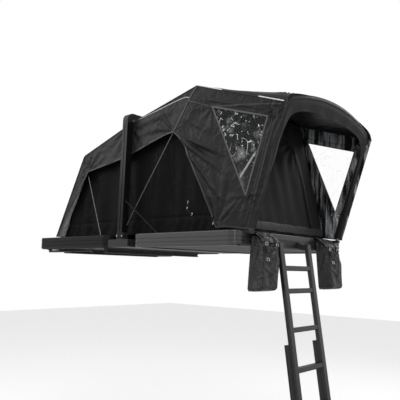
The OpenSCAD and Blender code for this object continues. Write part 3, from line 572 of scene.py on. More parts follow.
def sweep(path, profile, up):
    """Carries a closed profile along a path: sideways and upwards from each of its points."""
    ahead = np.gradient(path, axis=0)
    ahead /= np.linalg.norm(ahead, axis=1, keepdims=True)
    side = np.cross(ahead, up)
    side /= np.linalg.norm(side, axis=1, keepdims=True)
    above = np.cross(side, ahead)
    profile = np.broadcast_to(profile, (len(path),) + np.shape(profile)[-2:])
    return path[:, None] + side[:, None] * profile[..., :1] + above[:, None] * profile[..., 1:]


def swept(name, path, profile, across, material, up=SIDEWAYS):
    """A closed skin round a path. Its map runs along the path, and across it by the profile."""
    path = np.asarray(path, float)
    points, faces = closed_rings(sweep(path, profile, up))
    s = lengths(path)
    uv = np.stack([np.append(np.repeat(s, len(across)), [0, s[-1]]),
                   np.append(np.tile(across, len(s)), [0, 0])], axis=1)
    return outward(new_piece(name, points, faces, [material], uv))


def circle(radius, sides):
    """Points round a circle."""
    a = np.arange(sides) * 2 * np.pi / sides
    return radius * np.stack([np.cos(a), np.sin(a)], axis=1)


def tube(name, path, radius, material, up=SIDEWAYS, sides=8):
    """A round cord, piping or rod along a path."""
    around = np.arange(sides) * 2 * np.pi * radius / sides
    return swept(name, path, circle(radius, sides), around, material, up=up)


def strip(name, path, width, thickness, material, up):
    """A flat strap or tape with slightly rounded edges along a path; up is its flat side's normal."""
    w, t = width / 2, thickness / 2
    profile = np.array([[-w, -t * 0.4], [-w * 0.96, -t], [w * 0.96, -t], [w, -t * 0.4],
                        [w, t * 0.4], [w * 0.96, t], [-w * 0.96, t], [-w, t * 0.4]])
    return swept(name, path, profile, profile[:, 0], material, up=up)


# %% [markdown]
# Tight cloth is never flat. Folds run out from each point that pulls on it,
# and between them it billows a little. `fan` makes the folds that spread from
# a point, `crease` one long fold, and `billow` the slow waves. Each is a
# height over the panel's own plane, and they are simply added up.

# %% Helpers for folds
def smooth_step(x):
    """Three times the square less twice the cube, from 0 to 1."""
    x = np.clip(x, 0.0, 1.0)
    return x * x * (3 - 2 * x)


def crease(p, q, start, end, width, height):
    """A rounded ridge with a shallow valley beside it, fading out at both ends of its line."""
    dx, dz = end[0] - start[0], end[1] - start[1]
    long = math.hypot(dx, dz)
    t = ((p - start[0]) * dx + (q - start[1]) * dz) / long**2
    off = ((p - start[0]) * dz - (q - start[1]) * dx) / (long * width)
    fade = smooth_step(t * 4) * smooth_step((1 - t) * 2.5)
    return height * fade * (np.exp(-off**2) - 0.5 * np.exp(-(off - 1.8)**2))


def fan(p, q, point, first, last, folds, reach, height, seed):
    """Folds that spread from a point between two directions, in degrees, and die out with distance."""
    away = np.hypot(p - point[0], q - point[1])
    angle = np.degrees(np.arctan2(q - point[1], p - point[0]))
    t = (angle - first) % 360 / ((last - first) % 360)
    inside = smooth_step(t * 5) * smooth_step((1 - t) * 5) * (t <= 1)
    wave = np.sin(2 * np.pi * folds * t + seed + 1.3 * np.sin(5.1 * t + seed))
    return height * inside * wave * smooth_step(away / (0.18 * reach)) * np.exp(-(away / reach)**2)


def all_folds(p, q, fans, creases=()):
    """A panel's fans and creases, added up."""
    return sum(fan(p, q, *f) for f in fans) + sum(crease(p, q, *c) for c in creases)


def billow(p, q, size, height, seed):
    """Slow waves: six sines in seeded directions."""
    draw = np.random.default_rng(seed)
    angles = draw.uniform(0, np.pi, 6)
    phases = draw.uniform(0, 2 * np.pi, 6)
    sizes = size * draw.uniform(0.6, 1.6, 6)
    return height / 3 * sum(np.sin(2 * np.pi * (p * np.cos(a) + q * np.sin(a)) / s + f)
                            for a, f, s in zip(angles, phases, sizes))


# %% [markdown]
# A sewn panel is a sheet with a real thickness, and it was cut flat before it
# was hung. Its map is that flat cut.

# %% Helper for sewn panels
FLY_THICK, FILM_THICK, FLAP_THICK = 0.0014, 0.0006, 0.0012
IN_TENT = (0.1, 0.0, 0.5)


def sewn_panel(name, points, u, v, materials, nodes=(), faces=None,
               inside=IN_TENT, thickness=FLY_THICK, flat=None):
    """A sheet of cloth from its grid of points and its flat map u, v. A second material lines it."""
    faces = faces or grid_faces(*points.shape[:2])
    uv = np.column_stack([np.ravel(u), np.ravel(v)])
    piece = new_piece(name, points.reshape(-1, 3), faces, materials, uv, inside=inside)
    solid = piece.modifiers.new("thickness", "SOLIDIFY")
    solid.thickness = thickness
    solid.offset = -1.0
    solid.material_offset = len(materials) - 1
    if nodes:
        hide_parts(*nodes)
    if flat:
        return


# %% [markdown]
# The fly's side profile is a line through five places: the tail's foot, the
# tail hoop, the knee at the U frame, the ridge and the canopy's corner. The
# roof hangs over the hoops, so its corners are rounded by the poles. It is
# that profile carried across the tent, with a low crown between the hoops.

# %% The fly's profile
tail_low = local_box("fly_tail")[0]
TAIL_FOOT, TAIL_TOP = (tail_low.x, tail_low.z), (-0.569, 0.779)
KNEE, RIDGE, CORNER = (0.0, 0.957), (0.705, 1.115), (1.410, 0.865)
SEAM_FOOT = (0.483, 0.822)
BENDS = [TAIL_FOOT, TAIL_TOP, KNEE, RIDGE]
STATIONS = lengths(BENDS)
PROFILE = rounded(BENDS, 0.022)
print("fly profile length", round(lengths(PROFILE)[-1], 3), "m")

# %% Roof of the fly
CROWN = 0.012
ROOF_FOLDS = (5, 0.34, 0.0032)


def make_roof(rows=170, cols=110):
    """The profile carried along Y, lifted by a low crown between the hoops and by folds."""
    line = spaced(PROFILE, rows)
    out = line_normals(line)
    s = lengths(line)
    p, q = np.meshgrid(s, np.linspace(-FLY_HALF, FLY_HALF, cols), indexing="ij")
    lift = billow(p, q, 0.5, 0.003, 3) * smooth_step(p / 0.1)
    for a, b in zip(STATIONS[:-1], STATIONS[1:]):
        lift += CROWN * np.sin(np.pi * np.clip((p - a) / (b - a), 0, 1)) * (1 - (q / FLY_HALF)**2)
        for side in (-1, 1):
            for at, first in ((a, 0), (b, 90)):
                away = fan(p, q * side, (at, -FLY_HALF), first, first + 90, *ROOF_FOLDS, a + side)
                lift += away * (p >= a) * (p <= b)
    lift *= smooth_step((FLY_HALF - np.abs(q)) / 0.05)
    points = np.stack([line[:, :1] + lift * out[:, :1], q, line[:, 1:] + lift * out[:, 1:]], axis=-1)
    sewn_panel("fly_roof", points, q, p, ["fly_cloth", "roof_lining"],
               ["fly_tail", "fly_roof_low", "fly_roof_high"],
               inside=(0.1, 0, 0.3), flat=(2 * FLY_HALF, float(s[-1])))


make_roof()
print("fly roof made")

# %% [markdown]
# The valance is the part of the fly's side that hangs over the tent body. Its
# lower hem is cut in an arch, from the tail up to where the wing's seam
# starts. It is a ruled patch: each point lies on a straight line between the
# roof's edge and the hem.

# %% Valances
TAIL_CORNER = (-0.503, 0.641)
HEM = [(TAIL_FOOT[0] + 0.020, TAIL_FOOT[1] + 0.012), (-0.712, 0.370), TAIL_CORNER, (-0.034, 0.707),
       (0.246, 0.777), (0.402, 0.813), SEAM_FOOT]
HEM_AT = [0.0, 0.19, 0.38, 0.62, 0.80, 0.93, 1.0]
PROFILE_AT = [0.0, 0.38, 0.62, 1.0]
VALANCE_FANS = [
    (KNEE, 180, 360, 7, 0.35, 0.004, 0.4), (SEAM_FOOT, 110, 200, 4, 0.30, 0.005, 1.1),
    (TAIL_CORNER, 0, 160, 6, 0.26, 0.004, 2.0), (TAIL_TOP, 200, 350, 5, 0.25, 0.003, 0.9),
]
VALANCE_CREASES = [((0.06, 0.93), (0.50, 0.98), 0.020, 0.005),
                   ((0.05, 0.86), (0.42, 0.86), 0.024, 0.006)]


def hem_line(u):
    """The hem: nearly straight along the tail, then an arch from the tail's corner to the seam."""
    split = HEM_AT[2]
    tail = paced(HEM[:3], HEM_AT[:3], np.minimum(u, split))
    arch = paced(HEM[2:], HEM_AT[2:], np.maximum(u, split))
    return np.where((u < split)[:, None], tail, arch)


def profile_line(u):
    """The roof's edge at the same parameters as the hem."""
    at = lengths(PROFILE)
    return read_off(np.interp(u, PROFILE_AT, STATIONS / STATIONS[-1]), at / at[-1], PROFILE)


def side_panel(name, low, high, half, lift_of, side, materials, rows, node):
    """A ruled panel from its low to its high edge, pushed out from its own plane by its folds."""
    v = np.linspace(0, 1, rows)[:, None, None]
    flat = (1 - v) * low[None] + v * high[None]
    p, q = flat[..., 0], flat[..., 1]
    y = half + lift_of(p, q, np.broadcast_to(v[..., 0], p.shape))
    sewn_panel(name, np.stack([p, side * y, q], axis=-1), p, q, materials, [node])


def valance_lift(p, q, v):
    """Folds from the knee, the seam's foot and the tail's corner, and a soft flare at the hem."""
    lift = all_folds(p, q, VALANCE_FANS, VALANCE_CREASES) + billow(p, q, 0.35, 0.0035, 11)
    return lift * smooth_step((1 - v) * 6) + 0.003 * (1 - smooth_step(v * 8))


u = np.linspace(0, 1, 240)
for word, side in SIDES:
    side_panel(f"{word}_valance", hem_line(u), profile_line(u), FLY_HALF, valance_lift, side,
               ["fly_cloth", "fly_inside_painted_sheen"], 46, f"fly_{word}_valance")
print("valances hang from", [round(v, 3) for v in PROFILE[0]], "to", [round(v, 3) for v in PROFILE[-1]])

# %% [markdown]
# The wing closes the side between the valance's seam and the canopy's hoop.
# It leans in towards the hoop, and holds a clear window. The window and the
# wing's outer edge are two loops around one centre, so the wing is a ring of
# straight lines from the one loop to the other, and the film fills the inner
# loop with the same angles. Both then share each point of the window's edge.

# %% Loops of the wing
WING_TAPER = 0.052
seam = np.subtract(RIDGE, SEAM_FOOT)
SEAM_OUT = np.array([seam[1], -seam[0]]) / np.linalg.norm(seam)
HOOP_FOOT, HOOP_HEAD = (SHELL_OUT + 0.022, SHELL_H), (1.384, 0.894)
V_POINT = (0.863, 0.128)
WING_HEM = [SEAM_FOOT, (0.555, 0.752), (0.656, 0.562), (0.752, 0.380), V_POINT]
WING_SILL = [V_POINT, (0.946, 0.128), (1.040, 0.118), (1.158, 0.104)]
WINDOW = [(0.836, 0.940), (1.268, 0.800), (1.098, 0.318)]
WINDOW_MIDDLE = np.array([1.067, 0.686])
hem_curve = spaced(through(WING_HEM, 10), 40)
sill_curve = spaced(through(WING_SILL, 10), 20)


def wing_y(p, q):
    """Half the fly's width less a share of the distance past the seam."""
    past = (p - SEAM_FOOT[0]) * SEAM_OUT[0] + (q - SEAM_FOOT[1]) * SEAM_OUT[1]
    return FLY_HALF - WING_TAPER * past


def loop_angles(count=300):
    """Even angles, with those of every sharp corner of both loops among them."""
    corners = np.array([SEAM_FOOT, RIDGE, CORNER, WING_SILL[-1], V_POINT, *WINDOW]) - WINDOW_MIDDLE
    own = np.arctan2(corners[:, 1], corners[:, 0])
    even = np.linspace(-np.pi, np.pi, count, endpoint=False)
    near = np.abs(even[:, None] - own[None]).min(axis=1) < 0.4 * 2 * np.pi / count
    return np.sort(np.concatenate([even[~near], own]))


ANGLES = loop_angles()
AROUND = np.stack([np.cos(ANGLES), np.sin(ANGLES)], axis=1)


def edge_of(loop, count=60):
    """A closed polygon at each of the angles, read off from many points on each of its sides."""
    a = np.asarray(loop, float)
    t = np.linspace(0, 1, count, endpoint=False)[None, :, None]
    away = (a[:, None] * (1 - t) + np.roll(a, -1, axis=0)[:, None] * t).reshape(-1, 2) - WINDOW_MIDDLE
    own = np.arctan2(away[:, 1], away[:, 0])
    order = np.argsort(own)
    radius = np.interp(ANGLES, own[order], np.hypot(*away.T)[order], period=2 * np.pi)
    return WINDOW_MIDDLE + AROUND * radius[:, None]


window_edge = edge_of(WINDOW)
wing_edge = edge_of(np.concatenate([hem_curve[:-1], sill_curve, [CORNER], [RIDGE]]))
print("wing loop points", len(ANGLES))

# %% Wings
WING_FANS = [
    (SEAM_FOOT, 250, 345, 6, 0.46, 0.011, 0.3), (V_POINT, 60, 130, 4, 0.34, 0.009, 1.2),
    (WINDOW[0], 100, 320, 6, 0.16, 0.004, 0.2), (WINDOW[1], 300, 100, 6, 0.13, 0.004, 0.9),
    (WINDOW[2], 150, 40, 7, 0.16, 0.005, 1.7), (CORNER, 180, 260, 5, 0.22, 0.004, 0.6),
]
WING_CREASES = [
    ((0.50, 0.80), (0.93, 0.60), 0.014, 0.012), ((0.52, 0.79), (0.98, 0.44), 0.015, 0.013),
    ((0.60, 0.68), (0.95, 0.25), 0.014, 0.011), ((0.88, 0.16), (1.07, 0.33), 0.010, 0.008),
    ((1.14, 0.22), (1.30, 0.70), 0.014, 0.008), ((0.56, 0.93), (0.86, 0.74), 0.022, 0.008),
    ((0.72, 1.02), (1.30, 0.835), 0.010, 0.005),
]


def angle_of(point):
    """The angle round the window's middle, from nothing to a full turn."""
    return math.atan2(point[1] - WINDOW_MIDDLE[1], point[0] - WINDOW_MIDDLE[0]) % (2 * math.pi)


def wing_lift(p, q, v):
    """Folds from the corners that pull, flat at the window and the sewn edges, free at the hem."""
    lift = all_folds(p, q, WING_FANS, WING_CREASES) + billow(p, q, 0.30, 0.0035, 23)
    start, end = angle_of(SEAM_FOOT), angle_of(WING_SILL[-1])
    turn = (ANGLES[None] - start) % (2 * math.pi)
    free = smooth_step(turn / 0.25) * smooth_step((end - start - turn) / 0.2) * (turn <= end - start)
    return lift * (free + (1 - free) * smooth_step((1 - v) * 5)) * smooth_step(v * 6)


def make_wing(word, side, rows=56):
    """Straight lines from the window's edge to the wing's edge. The skin it returns carries tapes."""
    v = (np.linspace(0, 1, rows) ** 0.9)[:, None, None]
    flat = (1 - v) * window_edge[None] + v * wing_edge[None]
    p, q = flat[..., 0], flat[..., 1]
    y = wing_y(p, q) + wing_lift(p, q, np.broadcast_to(v[..., 0], p.shape))
    sewn_panel(f"{word}_wing", np.stack([p, side * y, q], axis=-1), p, q, ["fly_cloth", "fly_inside_painted_sheen"],
               [f"fly_{word}_wing"],
               faces=grid_faces(rows, len(ANGLES), wrap=True))
    return np.stack([p.ravel(), q.ravel(), y.ravel()], axis=1)


wing_skin = [make_wing(word, side) for word, side in SIDES][0]
print("wings made")

# %% [markdown]
# The window's film is stiff enough to crumple. Its creases are real geometry:
# sharp ridges along a few random lines, and the fine marks between them come
# from the material.

# %% Windows
CRUMPLE_WIDE, CRUMPLE_LONG, CRUMPLE_REACH = 0.012, 0.09, 0.16
CRUMPLES, CRUMPLE_HIGH = 26, 0.004


def crumple(p, q, count, height, seed):
    """The sum of many tent-shaped ridges, each along its own random line."""
    draw = np.random.default_rng(seed)
    total = np.zeros_like(p)
    for _ in range(count):
        a = draw.uniform(0, np.pi)
        at = WINDOW_MIDDLE + draw.uniform(-CRUMPLE_REACH, CRUMPLE_REACH, 2)
        off = (p - at[0]) * np.cos(a) + (q - at[1]) * np.sin(a)
        along = -(p - at[0]) * np.sin(a) + (q - at[1]) * np.cos(a)
        ridge = np.exp(-np.abs(off) / CRUMPLE_WIDE) * np.exp(-(along / CRUMPLE_LONG)**2)
        total += draw.uniform(0.4, 1) * ridge
    return height * total


def make_window(word, side, seed, nodes, rows=44):
    """Rings that shrink from the window's edge to its middle, with a fan of triangles in the last."""
    v = np.linspace(0, 1, rows)[1:, None, None]
    flat = WINDOW_MIDDLE + v * (window_edge - WINDOW_MIDDLE)[None]
    p, q = flat[..., 0], flat[..., 1]
    lift = crumple(p, q, CRUMPLES, CRUMPLE_HIGH, seed) + billow(p, q, 0.2, 0.003, seed)
    y = wing_y(p, q) - 0.0008 + lift * smooth_step((1 - v[..., 0]) * 4)
    middle = [[WINDOW_MIDDLE[0], side * float(wing_y(*WINDOW_MIDDLE)), WINDOW_MIDDLE[1]]]
    points = np.concatenate([np.stack([p, side * y, q], axis=-1).reshape(-1, 3), middle])
    i = np.arange(len(ANGLES))
    hub = np.stack([np.full(len(i), len(points) - 1), i, (i + 1) % len(i)], axis=1)
    sewn_panel(f"{word}_window", points, points[:, 0], points[:, 2], [f"{word}_film"],
               nodes, faces=grid_faces(rows - 1, len(i), wrap=True) + hub.tolist(),
               thickness=FILM_THICK)


make_window("rear", REAR, 5, ["side_windows"])
make_window("front", FRONT, 6, [])
print("windows made")

# %% [markdown]
# The canopy's roof is lofted from the straight ridge to the arch of the hoop.
# Its height is the side edge's height plus an arch that grows towards the
# hoop. The arch has two parts: round shoulders, where a power of the distance
# from the middle stays near nothing until close to the edge, and a crown that
# falls off with the square of that distance.

# %% Canopy roof
CANOPY_RISE, CORNER_DROP, SHOULDER = 0.100, 0.035, 0.055
CANOPY_LONG, CANOPY_HALF, CANOPY_SAG = 0.737, 0.62, 0.012


def canopy_arch(v):
    """The shoulders and the crown of the arch, v from -1 to 1 across the tent."""
    crown = CANOPY_RISE + CORNER_DROP - SHOULDER
    return SHOULDER * np.sqrt(np.clip(1 - v**20, 0, 1)) + crown * (1 - v**2)


def make_canopy(rows=90, cols=150):
    """Rows from the ridge to the hoop, and columns that crowd towards both sides."""
    across = np.sin(np.linspace(-np.pi / 2, np.pi / 2, cols))
    u, v = np.meshgrid(np.linspace(0, 1, rows), across, indexing="ij")
    x = RIDGE[0] + u * (CORNER[0] - RIDGE[0])
    edge_z = RIDGE[1] + u * (CORNER[1] - RIDGE[1])
    s, t = u * CANOPY_LONG, v * CANOPY_HALF
    fade = smooth_step((1 - np.abs(v)) * 12) * smooth_step(u * 12) * smooth_step((1 - u) * 12)
    lift = -CANOPY_SAG * np.sin(np.pi * u) * (1 - v**2) + billow(s, t, 0.32, 0.003, 31)
    for side in (-1, 1):
        lift += all_folds(s, t * side, [((CANOPY_LONG, -0.60), 95, 178, 6, 0.34, 0.006, 0.5 + side),
                                        ((0.0, -CANOPY_HALF), 2, 85, 5, 0.30, 0.005, 1.5 + side)])
    z = edge_z + u * canopy_arch(v) + lift * fade
    points = np.stack([x, v * (wing_y(x, edge_z) + 0.0006), z], axis=-1)
    sewn_panel("canopy_roof", points, t, s, ["canopy_cloth", "canopy_inside"],
               ["fly_canopy_roof"], inside=(1.0, 0.0, 0.5))


make_canopy()
print("canopy roof made")

# %% [markdown]
# The hoop is a bent pole in a sewn sleeve. Its shape is drawn flat, as leg,
# bend, arch, bend and leg, and then leaned out from its two feet. The sleeve
# follows the same line. A facing hangs inside the arch and narrows down the
# legs.

# %% The hoop's line
HOOP_HALF, HOOP_BEND, HOOP_RISE = BODY_HALF - 0.014, 0.060, CANOPY_RISE - 0.006
lean = np.subtract(HOOP_HEAD, HOOP_FOOT)
HOOP_LEN = float(np.linalg.norm(lean))
HOOP_UP = lean / HOOP_LEN
HOOP_NORMAL = np.array([HOOP_UP[1], 0.0, -HOOP_UP[0]])
ARCH_R = (HOOP_HALF**2 + HOOP_RISE**2) / (2 * HOOP_RISE)
ARCH_Z = HOOP_LEN + HOOP_RISE - ARCH_R
ARCH_A = math.asin((HOOP_HALF - HOOP_BEND) / (ARCH_R - HOOP_BEND))
HOOP_JOINT = ARCH_Z + (ARCH_R - HOOP_BEND) * math.cos(ARCH_A)


def hoop_outline():
    """Leg, bend, arch, bend and leg, as points across and up in the hoop's own plane."""
    bend = HOOP_HALF - HOOP_BEND
    legs = np.linspace(0.015, HOOP_JOINT, 40)[:-1]
    a = np.linspace(0, math.pi / 2 - ARCH_A, 10)
    b = np.linspace(-ARCH_A, ARCH_A, 90)[1:-1]
    left = np.stack([np.full_like(legs, -HOOP_HALF), legs], axis=1)
    left_bend = np.stack([-bend - HOOP_BEND * np.cos(a), HOOP_JOINT + HOOP_BEND * np.sin(a)], axis=1)
    arch = np.stack([ARCH_R * np.sin(b), ARCH_Z + ARCH_R * np.cos(b)], axis=1)
    half = np.concatenate([left, left_bend])
    return np.concatenate([half, arch, (half * (-1, 1))[::-1]])


def on_hoop(across, up, off=0.0):
    """A point in the hoop's plane, or off to its outer side, in the tent's own axes."""
    x = HOOP_FOOT[0] + up * HOOP_UP[0] + off * HOOP_UP[1]
    z = HOOP_FOOT[1] + up * HOOP_UP[1] - off * HOOP_UP[0]
    return np.stack([x, across, z], axis=-1)


outline = hoop_outline()
print("hoop", round(HOOP_LEN, 3), "m to its corner, arch radius", round(ARCH_R, 3))

# %% Sleeve
SLEEVE_WIDE, SLEEVE_DEEP, FOOT_DEEPER, SLEEVE_STEP = 0.0155, 0.016, 0.014, 0.018


def make_sleeve(sides=20, count=300):
    """An ellipse carried along the hoop, wider across the lean near the feet, and gently creased."""
    line = spaced(outline, count)
    low = smooth_step((HOOP_JOINT - line[:, 1]) / HOOP_JOINT)
    a = np.arange(sides) * 2 * np.pi / sides
    s = lengths(line)
    pucker = 1 + 0.035 * np.sin(2 * np.pi * s / 0.031) * np.sin(2 * np.pi * s / 0.173)
    deep = (SLEEVE_DEEP + FOOT_DEEPER * low) * (2 - pucker)
    wide = SLEEVE_WIDE * pucker
    profile = np.stack([wide[:, None] * np.cos(a), deep[:, None] * np.sin(a)], axis=-1)
    swept("hoop_sleeve", on_hoop(line[:, 0], line[:, 1]), profile, a * SLEEVE_STEP, "canopy_cloth",
          up=HOOP_NORMAL)


make_sleeve()
print("sleeve made")

# %% Facing inside the arch
FACING = [(0.562, 0.020), (0.556, 0.200), (0.549, 0.400), (0.541, 0.600), (0.526, 0.700),
          (0.490, 0.760), (0.420, 0.798), (0.320, 0.820), (0.200, 0.832), (0.0, 0.838)]


def make_facing(rows=40, cols=300):
    """A ruled strip from the roof's front edge to the facing's hem, rounded over the sleeve."""
    half = np.array(FACING)
    hem = spaced(through(np.concatenate([half * (-1, 1), half[::-1][1:]]), 8), cols)
    high = smooth_step((outline[:, 1] - HOOP_JOINT + 0.12) / 0.12)
    edge = spaced(outline + line_normals(outline) * (0.013 + 0.010 * high)[:, None], cols)
    v = np.linspace(0, 1, rows)[:, None, None]
    flat = (1 - v) * edge[None] + v * hem[None]
    s, t = np.broadcast_arrays(lengths(edge)[None], v[..., 0])
    over = np.sin(np.pi * np.clip(t / 0.55, 0, 1) * 0.5) * (1 - 0.35 * smooth_step((t - 0.4) / 0.6))
    wave = 0.0025 * np.sin(2 * np.pi * s / 0.23) * t**2
    width = float(np.linalg.norm(hem - edge, axis=1).max())
    sewn_panel("arch_facing", on_hoop(flat[..., 0], flat[..., 1], 0.020 * over + wave), s, t * width,
               ["canopy_cloth", "canopy_inside"], ["canopy_band"],
               inside=(0.6, 0.0, 0.5))


make_facing()
print("facing made")

# %% [markdown]
# The tent body is the black canvas under the fly. Its walls hang from the
# poles to the shells, so their folds are mostly upright, and they carry seams:
# one along the wall a hand above the shells, and one upright below it.

# %% The body's outline
CLOTH = 0.0043
UNDER_ROOF = 0.006
tail_wall, door_wall = local_box("body_tail_wall"), local_box("body_door_wall")
WALL_FOOT = tail_wall[0].z
TAIL_WALL_FOOT, TAIL_WALL_TOP = (tail_wall[0].x, WALL_FOOT), (tail_wall[1].x - 0.004, tail_wall[1].z)
CANOPY_FALL = (RIDGE[1] - CORNER[1]) / (CORNER[0] - RIDGE[0])
DOOR_TOP_X = 0.790
DOOR_FOOT = (door_wall[1].x, WALL_FOOT)
DOOR_TOP = (DOOR_TOP_X, RIDGE[1] - (DOOR_TOP_X - RIDGE[0]) * CANOPY_FALL - CLOTH)
SILL_X, SILL_Z = GAP_HALF + 0.0383, SHELL_H + 0.0003
WALL_TOP = [TAIL_WALL_TOP, (KNEE[0], KNEE[1] - UNDER_ROOF), (RIDGE[0], RIDGE[1] - UNDER_ROOF), DOOR_TOP]
SEAM_Z, SEAM_X = 0.212, -0.66
WALL_CREASES = [
    ((-0.12, 0.72), (0.03, 0.24), 0.016, 0.010), ((0.28, 0.76), (0.20, 0.23), 0.018, 0.010),
    ((0.42, 0.78), (0.46, 0.24), 0.015, 0.009), ((-0.40, 0.62), (-0.52, 0.24), 0.016, 0.008),
]
print("walls from", [round(v, 3) for v in TAIL_WALL_FOOT], "to", [round(v, 3) for v in DOOR_FOOT])

# %% Side walls
def wall_lift(p, q, v):
    """Upright folds that deepen downwards, two seams that draw the cloth in, and slow waves."""
    soft = np.sin(2 * np.pi * p / 0.21 + 0.8 * np.sin(2 * np.pi * p / 0.57))
    lift = 0.006 * soft * smooth_step((1 - v) * 1.4) + billow(p, q * 0.4, 0.24, 0.006, 41)
    lift += all_folds(p, q, [], WALL_CREASES)
    lift -= 0.005 * np.exp(-((q - SEAM_Z) / 0.010)**2)
    lift -= 0.004 * np.exp(-((p - SEAM_X) / 0.008)**2) * (q < SEAM_Z + 0.003)
    lift += 0.004 * np.exp(-((q - 0.155) / 0.03)**2) * np.sin(2 * np.pi * p / 0.09 + 2 * np.sin(9 * p))
    return lift * smooth_step((1 - v) * 10) * smooth_step(v * 8)


def make_body_side(word, side, cols=320, rows=110):
    """A wall from the shells, with a step over the sill between them, up to the poles."""
    x = np.linspace(TAIL_WALL_FOOT[0], DOOR_FOOT[0], cols)
    over = smooth_step((SILL_X + 0.012 - np.abs(x)) / 0.010)
    low = np.stack([x, WALL_FOOT + (SILL_Z - WALL_FOOT) * over], axis=1)
    stations = lengths(WALL_TOP)
    high = read_off((x - x[0]) / (x[-1] - x[0]), stations / stations[-1], WALL_TOP)
    side_panel(f"{word}_wall", low, high, BODY_HALF - 0.001, wall_lift, side, ["body_cloth"],
               rows, f"body_{word}_wall")


for word, side in SIDES:
    make_body_side(word, side)
print("side walls made")

# %% Tail wall and door wall
def end_wall(name, foot, top, material, lift_of, inside, rows=100, cols=120):
    """A flat wall across the tent from its foot to its top, pushed out along its own normal."""
    foot, top = np.array(foot), np.array(top)
    length = float(np.linalg.norm(top - foot))
    up = (top - foot) / length
    out = np.array([-up[1], up[0]]) * (-1 if inside[0] < foot[0] else 1)
    half = BODY_HALF - 0.005
    w, y = np.meshgrid(np.linspace(0, length, rows), np.linspace(-half, half, cols), indexing="ij")
    fade = (smooth_step((half - np.abs(y)) / 0.05) * smooth_step(w / 0.08)
            * smooth_step((length - w) / 0.06))
    lift = lift_of(y, w) * fade
    points = np.stack([foot[0] + w * up[0] + lift * out[0], y, foot[1] + w * up[1] + lift * out[1]], -1)
    sewn_panel(name, points, y, w, [material], [f"body_{name}"], inside=inside)
    return foot, up, out


DOOR_FANS = [((0.40, 0.88), 180, 280, 5, 0.3, 0.006, 0.2),
             ((-0.40, 0.88), 260, 360, 5, 0.3, 0.006, 0.9)]


def tail_lift(y, w):
    """Slow waves only."""
    return billow(y, w, 0.3, 0.005, 61)


def door_lift(y, w):
    """Long upright folds, deepest near the middle, and a pull at the zip's corners."""
    lift = 0.0030 * np.sin(2 * np.pi * y / 0.17 + 1.2 * np.sin(5 * y) + 0.6 * np.sin(4 * w))
    return lift + billow(y, w * 0.5, 0.26, 0.006, 51) + all_folds(y, w, DOOR_FANS)


end_wall("tail_wall", TAIL_WALL_FOOT, TAIL_WALL_TOP, "body_cloth", tail_lift,
         (0.0, 0.0, 0.3))
DOOR_AT, DOOR_UP, DOOR_OUT = end_wall("door_wall", DOOR_FOOT, DOOR_TOP, "door_cloth", door_lift,
                                      (0.0, 0.0, 0.5))
print("end walls made")

# %% [markdown]
# Seams, piping and hems are narrow strips and cords that lie on the panels'
# edges. They are swept along the same lines as the panels, a millimetre or
# so outside them. Both sides have the same ones, so they stand in one table.

# %% Piping and bindings
TAPE_THICK = 0.0014
ROOF_PIPE_R, CANOPY_PIPE_R = 0.0035, 0.0040
GLINT_SPANS = ((0, 19), (42, 58))
PIPE_UP = (0.0, 1.0, 0.01)


def side_line(points, side, off, half=None):
    """A line in X and Z put on the wing's skin, or at half the width, and off outwards."""
    k = np.asarray(points, float)
    if half is None:
        away = ((k[:, None] - wing_skin[None, :, :2])**2).sum(axis=2)
        near = wing_skin[away.argmin(axis=1), 2]
        y = np.where(away.min(axis=1) < 0.02**2, near, wing_y(k[:, 0], k[:, 1]))
    else:
        y = np.full(len(k), half)
    return np.stack([k[:, 0], side * (y + off), k[:, 1]], axis=1)


def leg_line(in_from_hoop):
    """A line beside the hoop's leg, from a little above its foot to a little below its head."""
    a, b = np.array([HOOP_FOOT, HOOP_HEAD]) - (in_from_hoop, 0.0)
    return a + np.array([[0.045], [0.94]]) * (b - a)


SEAM_TOP = (0.623, 1.024)
# The line of a piping below the roof's edge. Its pale colour is painted sheen.
SHEEN_LINE = through([(0.033, 0.968), (0.300, 1.010), (0.564, 1.051), (0.632, 1.044)], 10)
SEAM_LINE = [SEAM_FOOT, (0.577, 0.953), SEAM_TOP, (0.669, 1.080), RIDGE]
WINDOW_SEAM = [SEAM_TOP, WINDOW[0], (1.10, 0.905), (1.365, 0.862)]
TAPES = {  # line, width, finish, off the skin, half the width where it isn't on the wing, points
    "hem_binding": (hem_line(np.linspace(0, 1, 200)), 0.012, "seam_tape", 0.0035, FLY_HALF, 200),
    "wing_binding": (np.vstack([hem_curve, sill_curve[1:]]), 0.012, "seam_tape", 0.0022, None, 120),
    "seam": (SEAM_LINE, 0.014, "seam_tape", 0.0018, None, 60),
    "window_seam": (WINDOW_SEAM, 0.010, "seam_tape", 0.0014, None, 120),
    "leg_seam_0": (leg_line(0.020), 0.006, "seam_tape", 0.0014, None, 120),
    "leg_seam_1": (leg_line(0.048), 0.006, "seam_tape", 0.0014, None, 120),
    "painted_sheen_piping": (SHEEN_LINE, 0.006, "piping_painted_sheen", 0.002, FLY_HALF, 60),
    "window_binding": (np.vstack([window_edge, window_edge[:1]]), 0.011, "window_tape", 0.0016,
                       None, 260),
}
